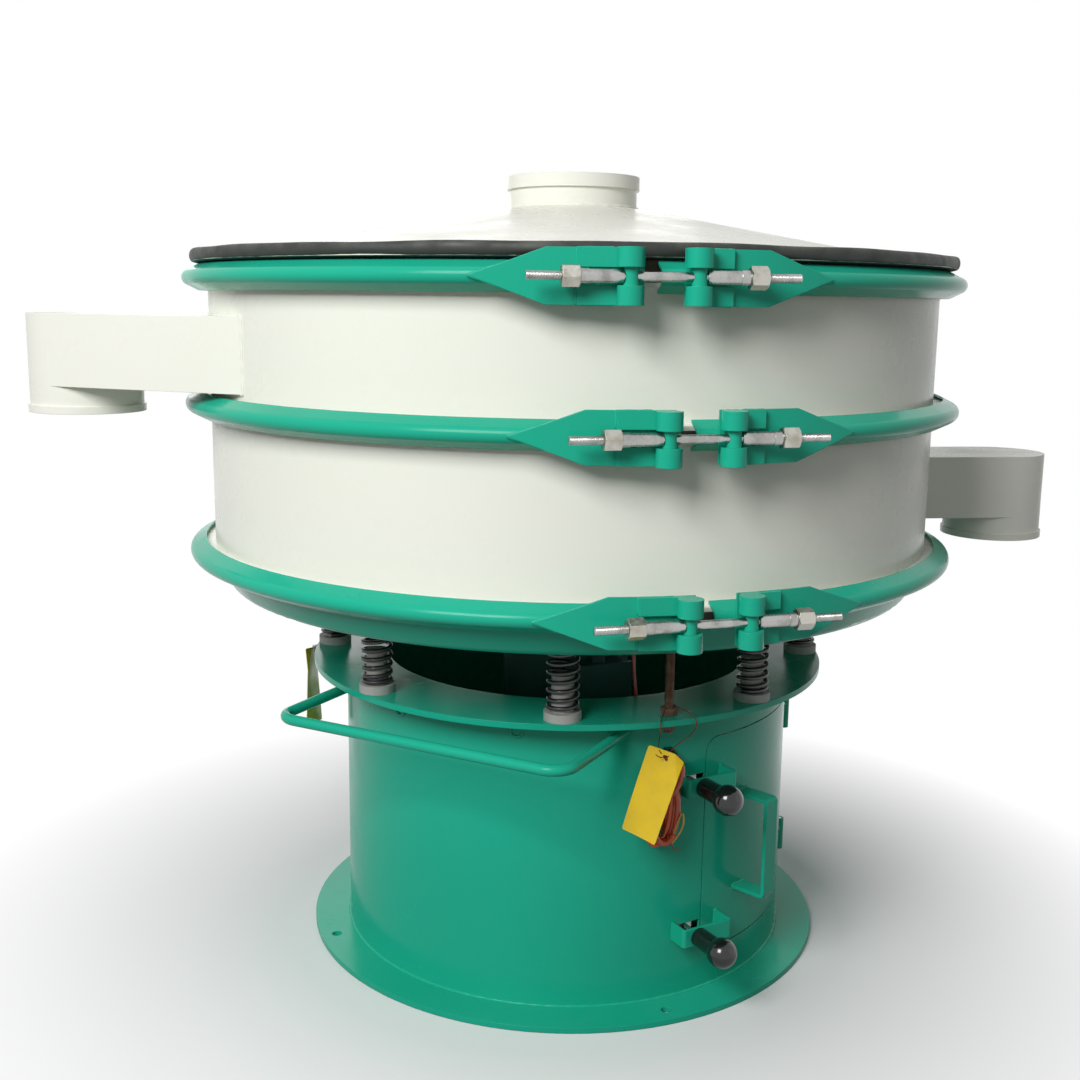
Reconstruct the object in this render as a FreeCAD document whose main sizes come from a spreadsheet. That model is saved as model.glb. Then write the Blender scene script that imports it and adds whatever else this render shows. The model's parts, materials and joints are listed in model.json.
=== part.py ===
"""Round vibrating sieve: a steel base, a spring-borne screening deck and its ring clamps.

Millimetres. The origin is on the machine's axis at the underside of the base flange.
+Z is up and the front is -Y. Pieces that stand off the axis are drawn at the front and
turned about Z: a bearing is counted from the front towards +X, in degrees.
"""

import FreeCAD, Part
import math
import os
import Sketcher

V = FreeCAD.Vector
Z_AXIS = V(0, 0, 1)

DIMENSIONS = {
    # base
    "base_radius": (322.1, "outside of the rolled base shell"),
    "base_wall": (3.0, "sheet of the base shell and the door"),
    "base_height": (404.8, "top face of the top flange"),
    "foot_width": (51.9, "bottom flange outside the shell"),
    "foot_inward": (72.1, "bottom flange inside the shell"),
    "foot_thickness": (7.4, "bottom flange"),
    "anchor_inset": (22.0, "floor bolts inside the flange's edge"),
    "anchor_start": (21.5, "bearing of the first floor bolt"),
    "anchor_count": (4, "floor bolts"),
    "anchor_hole": (7.0, "radius of a floor bolt's hole"),
    "top_flange_width": (46.6, "top flange outside the shell"),
    "top_flange_inward": (60.1, "top flange inside the shell"),
    "top_flange_thickness": (8.0, "top flange"),
    "rail_rod": (7.0, "radius of the towing rail's rod"),
    "rail_half": (207.0, "half the towing rail's width"),
    "rail_out": (92.9, "the rail's bar outside the shell"),
    "rail_drop": (18.8, "rod centre under the top flange"),
    "rail_bearing": (-28.0, "bearing of the rail's middle"),
    "rail_corner": (28.0, "bend radius of the rail"),
    # door and its fittings
    "door_sill": (51.6, "door above the bottom flange"),
    "door_head": (41.8, "door below the top flange"),
    "door_start": (33.5, "bearing of the free edge"),
    "door_span": (56.0, "angle that the door covers"),
    "door_gap": (1.5, "gap round the door"),
    "door_corner": (18.0, "corner radius of the door"),
    "hinge_bearing": (92.0, "bearing of the hinge axis"),
    "hinge_offset": (9.5, "hinge axis outside the shell"),
    "hinge_pin": (3.0, "radius of a hinge pin"),
    "hinge_barrel": (6.5, "outside radius of a hinge barrel"),
    "hinge_clearance": (0.05, "radial running clearance on a pin"),
    "hinge_knuckle": (24.0, "length of one hinge knuckle"),
    "hinge_inset": (51.0, "middle of a hinge inside the door's end"),
    "leaf_angle": (8.0, "angle that a hinge leaf covers"),
    "grip_bearing": (46.0, "bearing of the door handle"),
    "grip_sill": (73.0, "handle above the door's lower edge"),
    "grip_head": (85.0, "handle below the door's upper edge"),
    "grip_reach": (50.0, "handle's outer face outside the shell"),
    "grip_width": (24.0, "width of the handle's flat bar"),
    "grip_bar": (5.0, "thickness of the handle's flat bar"),
    "latch_bearing": (28.7, "bearing of the latch spindles"),
    "latch_sill": (41.0, "lower latch above the door's lower edge"),
    "latch_head": (51.0, "upper latch below the door's upper edge"),
    "strap_left": (22.5, "spindle to the strap's foot on the shell"),
    "strap_right": (54.0, "spindle to the strap's foot on the door"),
    "strap_reach": (30.0, "strap's outer face outside the shell"),
    "strap_height": (24.0, "width of the latch strap's flat bar"),
    "strap_bar": (4.0, "thickness of the latch strap"),
    "spindle_radius": (5.0, "radius of a latch spindle"),
    "hammer_half": (13.0, "half the length of the hammer head"),
    "hammer_height": (9.0, "height of the hammer head at rest"),
    "hammer_depth": (7.0, "hammer head, along the spindle"),
    "slot_margin": (1.5, "hammer slot round the head"),
    "slot_sweep": (8.5, "slot longer towards the door, for its swing"),
    "knob_ball": (19.5, "radius of a ball knob"),
    "knob_out": (79.9, "middle of the ball outside the shell"),
    "knob_neck": (10.0, "radius of the knob's neck at the strap"),
    # springs and transport bolts
    "spring_count": (8, "suspension springs"),
    "spring_start": (-2.0, "bearing of the first spring"),
    "spring_out": (22.9, "springs and transport bolts outside the shell"),
    "spring_coil": (21.0, "outside radius of a spring"),
    "spring_wire": (5.6, "wire diameter of a spring"),
    "spring_pad": (23.5, "radius of a spring's pads"),
    "spring_length": (96.2, "height of a spring under its load"),
    "spring_pad_height": (11.0, "lower pad"),
    "spring_cap_height": (8.0, "upper pad"),
    "spring_post": (14.0, "radius of the guide post inside a spring"),
    "spring_post_height": (46.0, "guide post above its pad"),
    "tie_count": (3, "transport bolts"),
    "tie_start": (20.5, "bearing of the first transport bolt"),
    "tie_radius": (6.0, "radius of a transport bolt"),
    "tie_hole": (7.0, "radius of its hole in the base"),
    "tie_slack_hole": (9.0, "radius of its hole in the tray"),
    "tie_nut": (10.4, "corner radius of a transport nut"),
    "tie_nut_height": (10.0, "height of a transport nut"),
    "tie_back_off": (6.0, "backed-off nut to the tray, with the sieve free"),
    # sprung deck
    "frame_radius": (500.0, "outside of the screen frames"),
    "frame_wall": (3.0, "sheet of the screen frames"),
    "lip_width": (18.0, "a frame's lip outside its wall"),
    "lip_thickness": (5.0, "a frame's lip"),
    "ring_overlap": (5.5, "a lip reaches this far into its clamp ring"),
    "ring_cover": (11.0, "a ring's shoulder outside the lips"),
    "ring_crest": (4.6, "a ring's crest outside its shoulder"),
    "ring_half": (16.8, "half the height of a clamp ring"),
    "ring_shoulder_half": (8.5, "half the height of the crest"),
    "ring_wall": (3.0, "sheet of a clamp ring"),
    "seat_clearance": (0.3, "between faces that seat on each other"),
    "tray_height": (52.6, "underside of the tray to the bottom joint"),
    "lower_deck": (198.0, "bottom joint to the middle one"),
    "upper_deck": (164.0, "middle joint to the top one"),
    "tray_wall": (5.0, "plate of the vibrating tray"),
    "knuckle_inset": (17.0, "where the tray's wall turns in, inside the frames"),
    "knuckle_rise": (9.0, "that turn above the tray's underside"),
    "tray_hub": (66.0, "hole in the tray for the motor shaft"),
    "dome_seat": (9.4, "outer edge of the discharge dome above the bottom joint"),
    "dome_rise": (46.0, "dome's middle above its edge"),
    "dome_sheet": (3.0, "sheet of the dome"),
    "screen_width": (30.0, "width of the screen ring"),
    "screen_inset": (10.0, "screen ring inside the lips' edge"),
    "screen_thickness": (4.0, "screen ring"),
    "mesh_sheet": (1.0, "woven screen cloth"),
    "seal_width": (28.0, "width of the ring seals"),
    "lid_overhang": (2.0, "the lid's rim outside the lips"),
    "lid_sheet": (3.0, "sheet of the lid"),
    "lid_rise": (81.0, "height of the lid's cone"),
    "lid_lift": (20.4, "underside of the lid's rim above the top joint"),
    "edging_wall": (3.0, "wall of the lid's edging"),
    "edging_grip": (17.0, "the edging's reach inside the lid's edge"),
    "edging_rise": (15.0, "top of the edging above the lid's rim"),
    "neck_radius": (88.5, "outside of the inlet neck"),
    "neck_wall": (3.0, "wall of the inlet neck"),
    "neck_height": (42.2, "neck above the lid's cone"),
    "neck_band": (3.6, "the band stands this far out of the neck"),
    "neck_band_height": (18.0, "height of that band"),
    # outlets
    "chute_half": (73.0, "half the width of an outlet chute"),
    "chute_height": (93.5, "height of an outlet chute"),
    "chute_sheet": (3.0, "sheet of the chutes"),
    "spout_drop": (36.0, "spout below its chute"),
    "bead_height": (10.0, "bead at the spout's mouth"),
    "bead_out": (2.5, "the bead stands this far out"),
    "upper_chute_bearing": (-112.5, "direction of the upper chute"),
    "upper_chute_inset": (145.0, "its middle line inside the frame's edge"),
    "upper_chute_out": (60.0, "its spout along that direction, past the frame's radius"),
    "upper_chute_rise": (22.4, "its underside above the middle joint"),
    "lower_chute_bearing": (96.8, "direction of the lower chute"),
    "lower_chute_offset": (88.6, "its middle line beside the machine axis"),
    "lower_chute_out": (192.0, "its spout along that direction, past the frame's radius"),
    "lower_chute_rise": (17.2, "its underside above the bottom joint"),
    # ring closures
    "top_closure": (8.4, "bearing of the top ring's closure"),
    "middle_closure": (13.0, "bearing of the middle ring's closure"),
    "bottom_closure": (16.0, "bearing of the bottom ring's closure"),
    "closure_gap": (9.0, "half the opening between a ring's ends"),
    "closure_shift": (-8.0, "middle of that opening beside the closure's middle"),
    "rod_standoff": (16.4, "a tie rod's axis outside a ring's crest"),
    "trunnion_half": (35.5, "closure's middle to a trunnion"),
    "trunnion_radius": (8.0, "radius of a trunnion"),
    "socket_radius": (14.0, "outside of a trunnion's socket"),
    "socket_height": (20.0, "height of one socket"),
    "socket_slot": (18.0, "between the upper and lower socket"),
    "lug_height": (58.0, "height of a lug plate"),
    "lug_plate": (3.0, "thickness of a lug plate"),
    "lug_root": (24.0, "closure's middle to the lug's square end"),
    "wrap_sheet": (6.0, "strap wrapped round a trunnion"),
    "wrap_left": (52.0, "trunnion to the end of the left lug's straps"),
    "wrap_right": (40.0, "trunnion to the end of the right lug's straps"),
    "lug_depth": (60.0, "depth of the blocks that shape a lug and a ring's opening"),
    "lug_taper": (118.0, "closure's middle to the start of the taper"),
    "lug_tip": (196.0, "closure's middle to the lug's tip"),
    "tie_rod_radius": (5.0, "radius of a tie rod"),
    "tie_rod_half": (142.5, "half the length of a tie rod"),
    "sleeve_radius": (7.3, "radius of a sleeve"),
    "sleeve_length": (35.0, "length of a sleeve"),
    "collar_radius": (7.9, "radius of a collar"),
    "collar_length": (9.0, "length of a collar"),
    "clamp_nut": (12.2, "corner radius of a clamp nut"),
    "clamp_nut_length": (19.0, "length of a clamp nut"),
    # vibration motor
    "motor_radius": (92.0, "outside of the motor housing"),
    "motor_wall": (8.0, "wall of the motor housing"),
    "motor_length": (268.0, "length of the motor housing"),
    "motor_flange_thickness": (20.0, "mounting flange of the motor"),
    "motor_flange_radius": (165.0, "mounting flange of the motor"),
    "motor_bolt_circle": (140.0, "pitch radius of the motor bolts"),
    "motor_bolt": (6.0, "radius of a motor bolt"),
    "motor_bolts": (8, "motor bolts"),
    "motor_bolt_head": (8.0, "height of a motor bolt's head"),
    "motor_nut": (9.0, "height of a motor bolt's nut"),
    "motor_bolt_end": (12.0, "a motor bolt above the tray's plate"),
    "bearing_outer": (45.0, "outside of a motor bearing"),
    "bearing_width": (22.0, "width of a motor bearing"),
    "shaft_radius": (20.0, "motor shaft"),
    "shaft_below": (124.0, "shaft below the motor housing"),
    "shaft_above": (72.0, "shaft above the underside of the tray"),
    "shaft_clearance": (0.05, "between shaft and bearing"),
    "core_radius": (54.0, "rotor core"),
    "core_length": (120.0, "rotor core"),
    "weight_radius": (112.0, "outside of an eccentric weight"),
    "weight_hub": (34.0, "hub of an eccentric weight"),
    "upper_weight_lift": (18.0, "upper weight above the underside of the tray"),
    "weight_fan": (150.0, "angle that a weight covers"),
    "upper_weight_height": (34.0, "upper weight"),
    "lower_weight_drop": (82.0, "fixed lower weight's underside below the motor housing"),
    "lower_weight_height": (34.0, "fixed lower weight"),
    "phase_weight_height": (20.0, "adjustable lower weight"),
    "phase_angle": (70.0, "adjustable weight turned from the fixed one"),
    "terminal_width": (76.0, "terminal box, across"),
    "terminal_depth": (60.0, "terminal box, outwards"),
    "terminal_height": (70.0, "terminal box, upwards"),
    "terminal_lift": (108.0, "terminal box above the lower end of the motor"),
    "terminal_sunk": (20.0, "terminal box let into the motor housing"),
    "terminal_lip": (3.0, "cover past the terminal box on each side"),
    "terminal_cover": (4.0, "cover of the terminal box"),
    "terminal_gland": (9.0, "radius of the terminal box's gland"),
    "terminal_gland_height": (20.0, "height of that gland"),
    # cable and tags
    "gland_bearing": (22.5, "bearing of the cable gland"),
    "gland_drop": (51.8, "axis of the cable gland under the top flange"),
    "gland_radius": (10.0, "corner radius of the gland's hexagon"),
    "cable_radius": (4.0, "supply cable"),
    "lead_radius": (2.5, "motor lead inside the base"),
    "core_radius_bare": (1.2, "a bare core of the cable"),
    "hank_bearing": (19.5, "middle of the hanging hank"),
    "hank_half": (25.0, "half the width of the hank"),
    "hank_low": (226.0, "lowest turn of the hank"),
    "hank_high": (334.0, "highest turn of the hank"),
    "hank_bend": (24.0, "round ends of the hank"),
    "hank_depth": (26.0, "depth of the hank's turns"),
    "hank_stand": (5.0, "hank off the shell"),
    "tag_width": (46.0, "warning tag"),
    "tag_height": (118.0, "warning tag"),
    "tag_sheet": (0.8, "warning tag"),
    "tag_out": (69.9, "warning tags outside the shell"),
    "tag_drop": (74.8, "middle of a tag under the top flange"),
    "tag_wire": (0.8, "radius of a tag's wire"),
}


class Size:
    """A number together with the spreadsheet expression that gives it."""

    def __init__(self, value, text):
        self.value = float(value)
        self.text = text

    def __add__(self, other):
        return join(self, other, "+", self.value + number(other))

    def __radd__(self, other):
        return size(other) + self

    def __sub__(self, other):
        return join(self, other, "-", self.value - number(other))

    def __rsub__(self, other):
        return size(other) - self

    def __mul__(self, other):
        return join(self, other, "*", self.value * number(other))

    def __rmul__(self, other):
        return size(other) * self

    def __truediv__(self, other):
        return join(self, other, "/", self.value / number(other))

    def __neg__(self):
        return size(0) - self


def number(item):
    return item.value if isinstance(item, Size) else float(item)


def size(item):
    return item if isinstance(item, Size) else Size(item, f"({float(item)!r})")


def join(left, right, sign, value):
    return Size(value, f"({left.text} {sign} {size(right).text})")


def make_sheet(document):
    sheet = document.addObject("Spreadsheet::Sheet", "Sizes")
    for row, (alias, (value, meaning)) in enumerate(DIMENSIONS.items(), start=1):
        sheet.set(f"A{row}", alias)
        sheet.set(f"B{row}", str(value))
        sheet.setAlias(f"B{row}", alias)
        sheet.set(f"C{row}", meaning)
    document.recompute()
    return sheet


class Named:
    """Every driving dimension as an attribute, such as D.base_radius."""


DOC = FreeCAD.newDocument("vibrating_sieve")
make_sheet(DOC)
D = Named()
for alias, (value, meaning) in DIMENSIONS.items():
    setattr(D, alias, Size(value, f"Sizes.{alias}"))


def derive():
    """Places and sizes that follow from the dimensions above."""
    # base, outwards from the shell and down from the top flange
    D.foot_radius = D.base_radius + D.foot_width
    D.foot_bore = D.base_radius - D.foot_inward
    D.anchor_radius = D.foot_radius - D.anchor_inset
    D.top_flange_radius = D.base_radius + D.top_flange_width
    D.top_flange_bore = D.base_radius - D.top_flange_inward
    D.top_flange_low = D.base_height - D.top_flange_thickness
    D.rail_reach = D.base_radius + D.rail_out
    D.rail_height = D.top_flange_low - D.rail_drop
    D.gland_height = D.top_flange_low - D.gland_drop
    D.knob_reach = D.base_radius + D.knob_out
    D.spring_circle = D.base_radius + D.spring_out
    D.tie_circle = D.spring_circle
    # door fittings, from the door's two ends
    D.door_bottom = D.foot_thickness + D.door_sill
    D.door_top = D.top_flange_low - D.door_head
    D.hinge_low = D.door_bottom + D.hinge_inset
    D.hinge_high = D.door_top - D.hinge_inset
    D.grip_low = D.door_bottom + D.grip_sill
    D.grip_high = D.door_top - D.grip_head
    D.latch_low = D.door_bottom + D.latch_sill
    D.latch_high = D.door_top - D.latch_head
    # sprung deck, outwards from the frames
    D.lip_radius = D.frame_radius + D.lip_width
    D.ring_edge = D.lip_radius - D.ring_overlap
    D.ring_shoulder = D.lip_radius + D.ring_cover
    D.ring_radius = D.ring_shoulder + D.ring_crest
    D.rod_line = D.ring_radius + D.rod_standoff
    D.tray_knuckle = D.frame_radius - D.knuckle_inset
    D.seal_inner = D.lip_radius - D.seal_width
    D.screen_outer = D.lip_radius - D.screen_inset
    D.screen_inner = D.screen_outer - D.screen_width
    D.lid_brim = D.frame_radius
    D.lid_edge = D.lip_radius + D.lid_overhang
    D.edging_outer = D.lid_edge + D.edging_wall
    D.edging_inner = D.lid_edge - D.edging_grip
    D.upper_chute_offset = D.frame_radius - D.upper_chute_inset
    D.upper_chute_reach = D.frame_radius + D.upper_chute_out
    D.lower_chute_reach = D.frame_radius + D.lower_chute_out
    # sprung deck, upwards from the springs
    D.tray_floor = (D.base_height + D.spring_pad_height + D.spring_length
                    + D.spring_cap_height)
    D.tray_knuckle_height = D.tray_floor + D.knuckle_rise
    D.bottom_joint = D.tray_floor + D.tray_height
    D.middle_joint = D.bottom_joint + D.lower_deck
    D.top_joint = D.middle_joint + D.upper_deck
    D.dome_edge = D.bottom_joint + D.dome_seat
    D.lower_chute_floor = D.bottom_joint + D.lower_chute_rise
    D.upper_chute_floor = D.middle_joint + D.upper_chute_rise
    D.lid_brim_height = D.top_joint + D.lid_lift
    D.lid_collar_height = D.lid_brim_height + D.lid_rise
    D.edging_top = D.lid_brim_height + D.edging_rise
    D.neck_top = D.lid_collar_height + D.neck_height
    # motor, down from the tray
    D.motor_top = D.tray_floor - D.motor_flange_thickness
    D.motor_bottom = D.motor_top - D.motor_length
    D.shaft_top = D.tray_floor + D.shaft_above
    D.shaft_bottom = D.motor_bottom - D.shaft_below
    D.upper_weight_low = D.tray_floor + D.upper_weight_lift
    D.lower_weight_low = D.motor_bottom - D.lower_weight_drop
    D.terminal_low = D.motor_bottom + D.terminal_lift


derive()
NODES = []


# ---------------------------------------------------------------- helpers

def bind(item, **properties):
    for name, amount in properties.items():
        path = name.replace("__", ".")
        item.setExpression(path, size(amount).text)


def primitive(kind, name, at=(0, 0, 0), **properties):
    """A Part primitive whose sizes and place are bound to the sheet."""
    item = DOC.addObject(f"Part::{kind}", name)
    bind(item, **properties)
    for axis, amount in zip("xyz", at):
        if isinstance(amount, Size) or amount:
            bind(item, **{f"Placement__Base__{axis}": amount})
    return item


def cylinder(name, radius, height, at=(0, 0, 0)):
    return primitive("Cylinder", name, at, Radius=radius, Height=height)


def box(name, length, width, height, at):
    """A box centred on `at` in X and Y, and standing on it."""
    x, y, z = at
    corner = (x - size(length) / 2, y - size(width) / 2, z)
    return primitive("Box", name, corner, Length=length, Width=width, Height=height)


def forward(item, reach, height, side=0):
    """Lay a cylinder or cone along -Y, from `reach` outwards."""
    item.Placement = FreeCAD.Placement(V(0, 0, 0), FreeCAD.Rotation(V(1, 0, 0), 90))
    places = {"x": size(side), "y": -size(reach), "z": size(height)}
    for axis, amount in places.items():
        bind(item, **{f"Placement__Base__{axis}": amount})
    return item


def cut(name, base, *tools):
    item = base
    for index, tool in enumerate(tools):
        step = DOC.addObject("Part::Cut", name if index == len(tools) - 1 else f"{name}_{index}")
        step.Base = item
        step.Tool = tool
        item = step
    return item


def fuse(name, *parts):
    item = DOC.addObject("Part::MultiFuse", name)
    item.Shapes = list(parts)
    item.Refine = True
    return item


def common(name, first, second):
    item = DOC.addObject("Part::MultiCommon", name)
    item.Shapes = [first, second]
    return item


def ring(name, outer, inner, height, at_height):
    """A plain round tube standing on `at_height`."""
    body = cylinder(f"{name}_outside", outer, height, (0, 0, at_height))
    bore = cylinder(f"{name}_bore", inner, height + 2, (0, 0, at_height - 1))
    return cut(name, body, bore)


def prism(name, sides, corner_radius, height, at=(0, 0, 0)):
    item = primitive("Prism", name, at, Circumradius=corner_radius, Height=height)
    item.Polygon = sides
    return item


def turned(item, bearing):
    item.Placement = FreeCAD.Placement(V(0, 0, 0), FreeCAD.Rotation(Z_AXIS, number(bearing)))
    return item


def copies(name, source, bearings):
    """Copies of `source` turned about Z to each bearing, as one group of solids."""
    links = []
    for index, bearing in enumerate(bearings):
        link = DOC.addObject("App::Link", f"{name}_{index + 1}")
        link.LinkedObject = source
        link.LinkTransform = True
        link.Placement = FreeCAD.Placement(V(0, 0, 0), FreeCAD.Rotation(Z_AXIS, number(bearing)))
        links.append(link)
    return group(name, links)


def group(name, members):
    item = DOC.addObject("Part::Compound", name)
    item.Links = list(members)
    return item


def bearings(start, count):
    return [number(start) + 360.0 * k / int(number(count)) for k in range(int(number(count)))]


def node(label, item):
    item.Label = label
    NODES.append((label, item))
    return item


def origin_plane(body, role):
    return [plane for plane in body.Origin.OriginFeatures if plane.Role == role][0]


def sketch_on(body, name, role="XZ_Plane"):
    sketch = body.newObject("Sketcher::SketchObject", name)
    sketch.AttachmentSupport = [(origin_plane(body, role), "")]
    sketch.MapMode = "FlatFace"
    return sketch


def constrain(sketch, kind, line, point, amount):
    """Hold one coordinate of a sketch point at a bound value, whatever its sign."""
    amount = size(amount)
    if abs(amount.value) < 1e-9:
        axis = -2 if kind == "DistanceX" else -1
        sketch.addConstraint(Sketcher.Constraint("PointOnObject", line, point, axis))
        return
    index = sketch.addConstraint(Sketcher.Constraint(kind, -1, 1, line, point, amount.value))
    sketch.setExpression(f"Constraints[{index}]", amount.text)


def arc_centre(start, end, radius):
    """Centre of the arc from start to end, left of the way there for a positive radius."""
    chord = end - start
    middle = (start + end) * 0.5
    side = V(-chord.y, chord.x, 0).normalize()
    rise = math.sqrt(max(radius * radius - chord.Length * chord.Length / 4, 0))
    return middle + side * math.copysign(rise, radius)


def outline(sketch, corners, closed=True):
    """Straight edges and arcs through corners. A corner is (x, y) or, where the edge that
    leads to it is an arc, (x, y, radius), positive for an arc that turns left."""
    spots = [V(number(c[0]), number(c[1]), 0) for c in corners]
    total = len(corners)
    edges = total if closed else total - 1
    ends = []
    for k in range(edges):
        start, end = spots[k], spots[(k + 1) % total]
        target = corners[(k + 1) % total]
        if len(target) == 3:
            ends.append(add_arc(sketch, start, end, size(target[2])))
        else:
            sketch.addGeometry(Part.LineSegment(start, end))
            ends.append((1, 2))
    for k in range(edges if closed else edges - 1):
        follower = (k + 1) % total
        link = Sketcher.Constraint("Coincident", k, ends[k][1], follower, ends[follower][0])
        sketch.addConstraint(link)
    for k, corner in enumerate(corners):
        edge, point = (k, ends[k][0]) if k < edges else (edges - 1, ends[-1][1])
        constrain(sketch, "DistanceX", edge, point, corner[0])
        constrain(sketch, "DistanceY", edge, point, corner[1])


def add_arc(sketch, start, end, radius):
    centre = arc_centre(start, end, radius.value)
    begin = math.atan2(start.y - centre.y, start.x - centre.x)
    finish = math.atan2(end.y - centre.y, end.x - centre.x)
    circle = Part.Circle(centre, V(0, 0, 1), abs(radius.value))
    if radius.value > 0:
        index = sketch.addGeometry(Part.ArcOfCircle(circle, begin, finish))
        order = (1, 2)
    else:
        index = sketch.addGeometry(Part.ArcOfCircle(circle, finish, begin))
        order = (2, 1)
    hold = sketch.addConstraint(Sketcher.Constraint("Radius", index, abs(radius.value)))
    text = radius.text if radius.value > 0 else (-radius).text
    sketch.setExpression(f"Constraints[{hold}]", text)
    return order


def revolved(name, corners):
    """A body turned about Z from an outline in radius and height."""
    body = DOC.addObject("PartDesign::Body", name)
    sketch = sketch_on(body, f"{name}_profile")
    outline(sketch, corners)
    turn = body.newObject("PartDesign::Revolution", f"{name}_turn")
    turn.Profile = sketch
    turn.ReferenceAxis = (sketch, ["V_Axis"])
    turn.Angle = 360
    sketch.Visibility = False
    return body


def padded(name, corners, role, length, offset=0, middle=False):
    """A body of an outline on an origin plane, pushed out along the plane's normal."""
    body = DOC.addObject("PartDesign::Body", name)
    sketch = sketch_on(body, f"{name}_profile", role)
    outline(sketch, corners)
    if isinstance(offset, Size) or offset:
        bind(sketch, AttachmentOffset__Base__z=offset)
    pad = body.newObject("PartDesign::Pad", f"{name}_pad")
    pad.Profile = sketch
    pad.Midplane = middle
    bind(pad, Length=length)
    return body


def flange(name, outer, inner, thickness, low, patterns):
    """A flat ring with rings of holes, each (radius of hole, pitch radius, start, count)."""
    body = DOC.addObject("PartDesign::Body", name)
    sketch = sketch_on(body, f"{name}_rings", "XY_Plane")
    bind(sketch, AttachmentOffset__Base__z=low)
    for radius in (outer, inner):
        circle_at(sketch, 0, 0, radius)
    pad = body.newObject("PartDesign::Pad", f"{name}_pad")
    pad.Profile = sketch
    bind(pad, Length=thickness)
    DOC.recompute()
    for index, (hole, pitch, start, count) in enumerate(patterns):
        drill(body, f"{name}_holes{index + 1}", hole, pitch, start, count, low, thickness)
    return body


def circle_at(sketch, x, y, radius):
    spot = V(number(x), number(y), 0)
    index = sketch.addGeometry(Part.Circle(spot, V(0, 0, 1), number(radius)))
    hold = sketch.addConstraint(Sketcher.Constraint("Radius", index, number(radius)))
    sketch.setExpression(f"Constraints[{hold}]", size(radius).text)
    constrain(sketch, "DistanceX", index, 3, x)
    constrain(sketch, "DistanceY", index, 3, y)


def drill(body, name, hole, pitch, start, count, low, thickness):
    """A ring of round holes right through a flat ring."""
    sketch = sketch_on(body, f"{name}_sketch", "XY_Plane")
    turn = FreeCAD.Rotation(Z_AXIS, number(start))
    sketch.AttachmentOffset = FreeCAD.Placement(V(0, 0, 0), turn)
    bind(sketch, AttachmentOffset__Base__z=low + thickness)
    circle_at(sketch, 0, -size(pitch), hole)
    pocket = body.newObject("PartDesign::Pocket", name)
    pocket.Profile = sketch
    bind(pocket, Length=thickness + 1)
    DOC.recompute()
    pattern = body.newObject("PartDesign::PolarPattern", f"{name}_pattern")
    pattern.Originals = [pocket]
    pattern.Axis = (origin_plane(body, "Z_Axis"), [""])
    pattern.Angle = 360
    pattern.Occurrences = int(number(count))
    body.Tip = pattern
    DOC.recompute()


def rounded_path(points):
    """Straight runs joined by tangent arcs, each as large as its two runs allow."""
    edges = []
    radii = []
    here = points[0]
    for k in range(1, len(points) - 1):
        before = points[k] - points[k - 1]
        after = points[k + 1] - points[k]
        turn = before.getAngle(after)
        setback = 0.45 * min(before.Length, after.Length)
        radii.append(setback / math.tan(turn / 2))
        into = V(before).normalize()
        away = V(after).normalize()
        start = points[k] - into * setback
        end = points[k] + away * setback
        bisector = (away - into).normalize()
        centre = points[k] + bisector * (radii[-1] / math.cos(turn / 2))
        middle = centre - bisector * radii[-1]
        edges.append(Part.LineSegment(here, start).toShape())
        edges.append(Part.Arc(start, middle, end).toShape())
        here = end
    edges.append(Part.LineSegment(here, points[-1]).toShape())
    return Part.Wire(edges), radii


def tube(name, points, radius):
    """A round tube along a route."""
    path, radii = rounded_path(points)
    section = Part.Wire([Part.Circle(points[0], points[1] - points[0], number(radius)).toShape()])
    item = DOC.addObject("Part::Feature", name)
    item.Shape = path.makePipeShell([section], True, False)
    whole = math.pi * number(radius) ** 2 * path.Length
    smallest = min(radii) if radii else 0
    print(f"{name}: length {path.Length:.0f} mm, volume ratio {item.Shape.Volume / whole:.4f}, "
          f"radii {', '.join(f'{r:.0f}' for r in radii)}, smallest {smallest:.1f} mm")
    return item


def polar(bearing, radius, height):
    angle = math.radians(number(bearing))
    return V(number(radius) * math.sin(angle), -number(radius) * math.cos(angle), number(height))


def rounded_rectangle(left, right, low, high, radius):
    return [
        (left + radius, low, radius),
        (right - radius, low),
        (right, low + radius, radius),
        (right, high - radius),
        (right - radius, high, radius),
        (left + radius, high),
        (left, high - radius, radius),
        (left, low + radius),
    ]


def sagitta(half_width, radius):
    """How far a round wall falls back at half_width from its nearest line."""
    return half_width * half_width / (2 * radius)


# ---------------------------------------------------------------- base

DOOR_MIDDLE = D.door_start + D.door_span / 2
DOOR_HALF = Size(
    D.base_radius.value * math.sin(math.radians(D.door_span.value / 2)),
    "(Sizes.base_radius * sin(Sizes.door_span / 2))",
)
HINGE_RADIUS = D.base_radius + D.hinge_offset
FLANGE_LOW = D.top_flange_low
LATCHES = (("lower", D.latch_low), ("upper", D.latch_high))


def base_ring():
    return ring("base_ring", D.base_radius, D.base_radius - D.base_wall,
                FLANGE_LOW - D.foot_thickness, D.foot_thickness)


def door_block(name, gap):
    """A block through the shell's wall with the door's outline, larger by `gap`."""
    half = DOOR_HALF + gap
    corners = rounded_rectangle(-half, half, D.door_bottom - gap, D.door_top + gap,
                                D.door_corner + gap)
    block = padded(name, corners, "XZ_Plane", D.base_radius, offset=D.base_radius / 2)
    return turned(block, DOOR_MIDDLE)


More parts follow.
